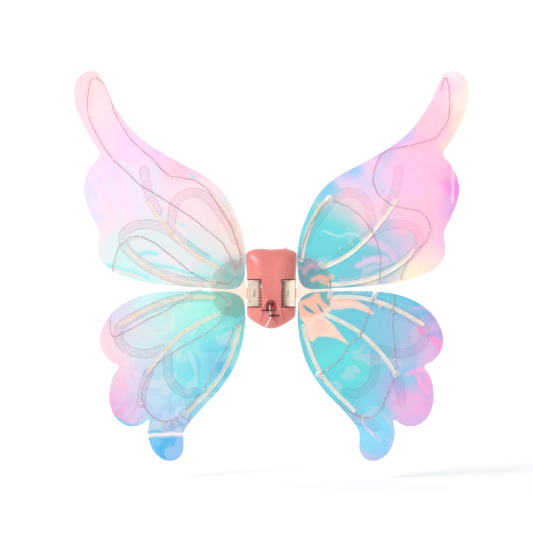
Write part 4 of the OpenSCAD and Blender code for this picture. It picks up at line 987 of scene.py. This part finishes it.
def makeFrontShell(materials):
    look, hingeX, hingeY = housingLook, housingLook["hingeX"], housingLook["hingeY"]
    seam, front = -look["backDepth"], -look["depth"]
    shell = outward(newObject("frontShell", *crownSolid(0, seam)))
    combined(shell, crownSolid(look["wall"], seam + 1), "DIFFERENCE")

    def notch(s, grow):
        # room for a flapper, or with grow for the rib round it
        inner = (s * (look["notchX"] - grow), -18.44 + grow, -33 - grow)
        return boxShape(inner, (s * 90, front - 5, 17 + grow))

    screws = [(s * x, z) for s in (-1, 1) for x, z in ((36, 38), (31, -47))]
    # ribs round the notches, pocket and screws end inside the wall, so that no seam shows on the crown
    ribs = outward(newObject("ribs", *notch(1, 1.8)))
    bosses = [rodShape((x, seam, z), (x, front, z), 7) for x, z in screws]
    for shape in [notch(-1, 1.8), slabShape(archRing(1.8, -40.8), -30, -60)] + bosses:
        combined(ribs, shape, "UNION")
    combined(ribs, crownSolid(0.5, seam - 0.2), "INTERSECT")
    combined(shell, ribs, "UNION")
    # the raised lip round the pocket, half sunk in the crown
    left = [(-20, -55), (-17.6, -47), (-15.6, -39), (-13.6, -31), (-10.6, -23.5), (-5.8, -18)]
    path = evenly(openCurve(left + [(0, -16.2)] + [(-x, z) for x, z in left[::-1]], 8), 1.4)
    y = np.maximum(seam - crownDepth(distanceTo(path, housingOutline(), True)) + 1.15, -42.6)
    lip = swept(np.stack([path[:, 0], y, path[:, 1]], 1), circle(4.4, 14), up=(0, 1, 0))
    combined(shell, lip, "UNION")
    cuts = [notch(1, 0), notch(-1, 0)]
    # room for the sectors and the rack, and the bores of the hinge pins
    cuts += [boxShape((s * 3.2, -38.5, -0.8), (s * 18.2, -14, 8.8)) for s in (-1, 1)]
    cuts += [rodShape((s * hingeX, hingeY, -38.5), (s * hingeX, hingeY, 20.5), look["hingeHole"])
             for s in (-1, 1)]
    cuts += [boxShape((-23.3, 0, -61), (23.3, -18.4, -1))]  # room for the battery bay
    cuts += [slabShape(archRing(0, -39), -32, -60)]  # pocket
    cuts += [boxShape((-4.5, -26, -30.5), (4.5, -36, -25.5))]  # hole that the leads come out of
    cuts += [rodShape((0, seam, 19), (0, front - 5, 19), look["lensHole"])]
    cuts += [rodShape((x, seam + 1, z), (x, -21.5, z), look["screwHole"]) for x, z in screws]
    cuts += [rodShape((x, -36, z), (x, -60, z), look["leadHole"]) for x, z in ((11, -62), (-9, -66))]
    for shape in cuts:
        combined(shell, shape, "DIFFERENCE")
    shell.name = "frontShellMoulding"
    shell.data.materials.clear()
    shell.data.materials.append(materials["coral"])
    shell.data.polygons.foreach_set("material_index", np.zeros(len(shell.data.polygons), np.int32))
    softLook(shell, 30)
    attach(shell, "housing")
    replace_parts(shell, "front_shell")
    print("front shell", len(shell.data.polygons), "faces")


leadLook = dict(diameter=1.8, step=0.6)
leadRoutes = {
    "red": [[2, -34, -28], [2.2, -38, -28.5], [3, -42, -31], [4, -45, -35], [3.4, -46, -40],
    [1.4, -46, -45],
            [1.2, -46, -49], [4, -46, -53], [8, -45.5, -57], [10.5, -44.4, -60.5], [11, -43, -62],
            [11, -40, -62]],
    "white": [[-2, -34, -28], [-2.2, -38, -28.5], [-3, -42, -31], [-3, -45, -35], [-2, -46, -40],
    [-1, -46, -45],
              [-1.2, -46, -49], [-3.5, -46, -54], [-6, -45.6, -59], [-8.6, -44.4, -64.2], [-9, -43, -66],
              [-9, -40, -66]]}


def makeLeads(materials):
    for word, route in leadRoutes.items():
        line = evenly(openCurve(route, 8), leadLook["step"])
        shape = swept(line, circle(leadLook["diameter"], 14))
        made = outward(newObject(f"{word}Lead", *shape, materials[word], "housing"))
        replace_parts(made, f"{word}_lead")


def tieBand(x, y, z, wide, deep, thick, high, radius=1.1):
    # a flat strap closed round the leads, with rounded corners
    loop = []
    for k, (sx, sy) in enumerate(((-1, -1), (1, -1), (1, 1), (-1, 1))):
        cx, cy = x + sx * (wide / 2 - radius), y + sy * (deep / 2 - radius)
        loop += [(cx + radius * math.cos(math.pi + a), cy + radius * math.sin(math.pi + a))
                 for a in np.linspace(0, math.pi / 2, 6) + k * math.pi / 2]
    loop, middle = np.array(loop), np.array([x, y])
    inner = middle + (loop - middle) * (1 - 2 * thick / np.array([wide, deep]))
    n, points, faces = len(loop), [], []
    for ring, h in ((loop, -high / 2), (loop, high / 2), (inner, high / 2), (inner, -high / 2)):
        points += [(px, py, z + h) for px, py in ring]
    for a, b in ((0, 1), (1, 2), (2, 3), (3, 0)):
        faces += [(a * n + i, a * n + (i + 1) % n, b * n + (i + 1) % n, b * n + i) for i in range(n)]
    return points, faces


def makeTies(materials):
    # two black ties round the leads: a ratchet head and short tail on the lower, a long tail on the upper
    lower = [tieBand(0, -46, -47, 7.4, 4.4, 1, 2.6), boxShape((3.6, -47.6, -48.7), (6.6, -44.4, -45.3)),
             boxShape((6.4, -46.4, -48), (14.4, -45.6, -46))]
    upper = [tieBand(0.5, -45.6, -37.5, 11.2, 4.8, 0.8, 2), boxShape((-18, -48, -38.5), (-4, -47.2, -36.5))]
    made = outward(newObject("cableTies", *joined(lower + upper), materials["black"], "housing"))
    softLook(made, 40)
    edge = made.modifiers.new("Edges", "BEVEL")
    edge.width, edge.segments, edge.limit_method = 0.15 * mm, 2, "ANGLE"
    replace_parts(made, "cable_tie")


# material, slot, and each node's own edge rounding in millimetres
plainLook = [
    ("coral", "coral_plastic", {"back_shell": 0.35, "battery_door": 0.3}),
    ("ivory", "ivory_plastic", {"power_button": 0.3, "right_flapper": 0.3, "left_flapper": 0.3}),
    ("lens", "clear_lens", {"indicator_lens": 0.15}),
    ("board", "circuit_board", {"circuit_board": 0}),
    ("black", "black_plastic", {"tact_switch": 0.1}),
    ("cell", "cell_wrap", {"battery_cells": 0.3}),
    ("brass", "brass", {"motor_pinion": 0}),
    ("contact", "brass", {"right_contacts": 0, "left_contacts": 0}),
    ("steel", "screw_steel", {
        "battery_door_screw": 0.1, "case_screws": 0.15, "battery_springs": 0, "battery_plates": 0.1,
        "motor_can": 0.4, "motor_shaft": 0, "gear_axles": 0, "hinge_pins": 0, "crank_pin": 0}),
    ("nylon", "white_nylon", {
        "idler_gear": 0, "crank_gear": 0, "drive_rack": 0.1, "rack_guide": 0.2, "gearbox_plate": 0.2,
        "lower_bearing_plate": 0.2}),
    ("root", "root_plastic", {"right_root_plate": 0.2, "left_root_plate": 0.2})]


def dressAll(materials):
    for word, slotName, edges in plainLook:
        for node, edge in edges.items():
            softLook(dress(node, materials[word], edge), 30)
        print("dressed in", word, len(edges), "pieces")


# Stage

cameraLook = dict(x=-8.6, y=-4025, z=38.7, lens=154.4)
lightLook = dict(behind=1.2, front=0.5, keyWatts=70, fillWatts=1)
floorLook = dict(height=-330, reach=3400, front=-1800, back=800, fadeFrom=-100, fadeTo=700)


def makeWorld(scene):
    # a white wall of light behind the wings, falling off to a dimmer room in front
    scene.view_settings.view_transform = "Standard"
    scene.world = bpy.data.worlds.new("Studio")
    scene.world.use_nodes = True
    tree = scene.world.node_tree
    glow = tree.nodes["Background"]
    glow.inputs["Color"].default_value = rgba("#FFFFFF")
    toward = addNode(tree, "ShaderNodeTexCoord", -600, 0)
    split = addNode(tree, "ShaderNodeSeparateXYZ", -400, 0, {0: toward.outputs["Generated"]})
    level = addNode(tree, "ShaderNodeMapRange", -200, 0, {"Value": split.outputs["Y"]}, {
        "From Min": -0.5, "From Max": 0.8, "To Min": lightLook["front"], "To Max": lightLook["behind"]})
    tree.links.new(level.outputs[0], glow.inputs["Strength"])


def makeFloor():
    # matt white paper that fades out behind the wings, so it ends without an edge
    paper, tree, out, place = newMaterial("Matt white paper")
    grain = addNode(tree, "ShaderNodeTexNoise", -500, 0, {"Vector": place}, {"Scale": 1 / 3, "Detail": 3})
    tone = addNode(tree, "ShaderNodeValToRGB", -300, 0, {0: grain.outputs["Fac"]},
                   stops=[(0.3, "#FAFAFA"), (0.7, "#FDFDFD")])
    face = addNode(tree, "ShaderNodeBsdfDiffuse", 200, 0, {"Color": tone.outputs["Color"]})
    nothing = addNode(tree, "ShaderNodeBsdfTransparent", 200, 200)
    along = addNode(tree, "ShaderNodeSeparateXYZ", -300, 300, {0: place})
    fade = addNode(tree, "ShaderNodeMapRange", -100, 300, {"Value": along.outputs["Y"]}, {
        "From Min": floorLook["fadeFrom"], "From Max": floorLook["fadeTo"], "To Min": 0, "To Max": 1})
    sheet = addNode(tree, "ShaderNodeMixShader", 420, 100, {
        0: fade.outputs[0], 1: face.outputs[0], 2: nothing.outputs[0]})
    tree.links.new(sheet.outputs[0], out.inputs["Surface"])
    wide, near, far, z = floorLook["reach"], floorLook["front"], floorLook["back"], floorLook["height"]
    corners = [(-wide, near, z), (wide, near, z), (wide, far, z), (-wide, far, z)]
    newObject("floor", corners, [(0, 1, 2, 3)], paper)


def makeLamp(scene, name, place, size, watts):
    data = bpy.data.lights.new(name, "AREA")
    data.size, data.energy = size * mm, watts
    lamp = bpy.data.objects.new(name, data)
    lamp.location = [c * mm for c in place]
    lamp.rotation_euler = (Vector((0, -40 * mm, 0)) - lamp.location).to_track_quat("-Z", "Y").to_euler()
    scene.collection.objects.link(lamp)


def makeStage():
    scene = bpy.context.scene
    makeWorld(scene)
    makeFloor()
    makeLamp(scene, "keyLamp", (-2000, -2100, 1300), 1300, lightLook["keyWatts"])
    makeLamp(scene, "fillLamp", (1700, -2100, 300), 1700, lightLook["fillWatts"])
    data = bpy.data.cameras.new("camera")
    data.lens, data.sensor_width, data.clip_end = cameraLook["lens"], 36, 50
    camera = bpy.data.objects.new("camera", data)
    camera.location = [cameraLook[axis] * mm for axis in "xyz"]
    camera.rotation_euler = (math.pi / 2, 0, 0)
    scene.collection.objects.link(camera)
    scene.camera = camera
    print("stage done")


materials = makeMaterials()
makeFilms(materials)
makeBands(materials)
makeStays(materials)
makeWires(materials)
scatter = scatterTree("Scatter on points")
makeBeads(materials, scatter)
makeTapes(materials)
print("wings done")
makeFrontShell(materials)
makeLeads(materials)
makeTies(materials)
dressAll(materials)
makeStage()
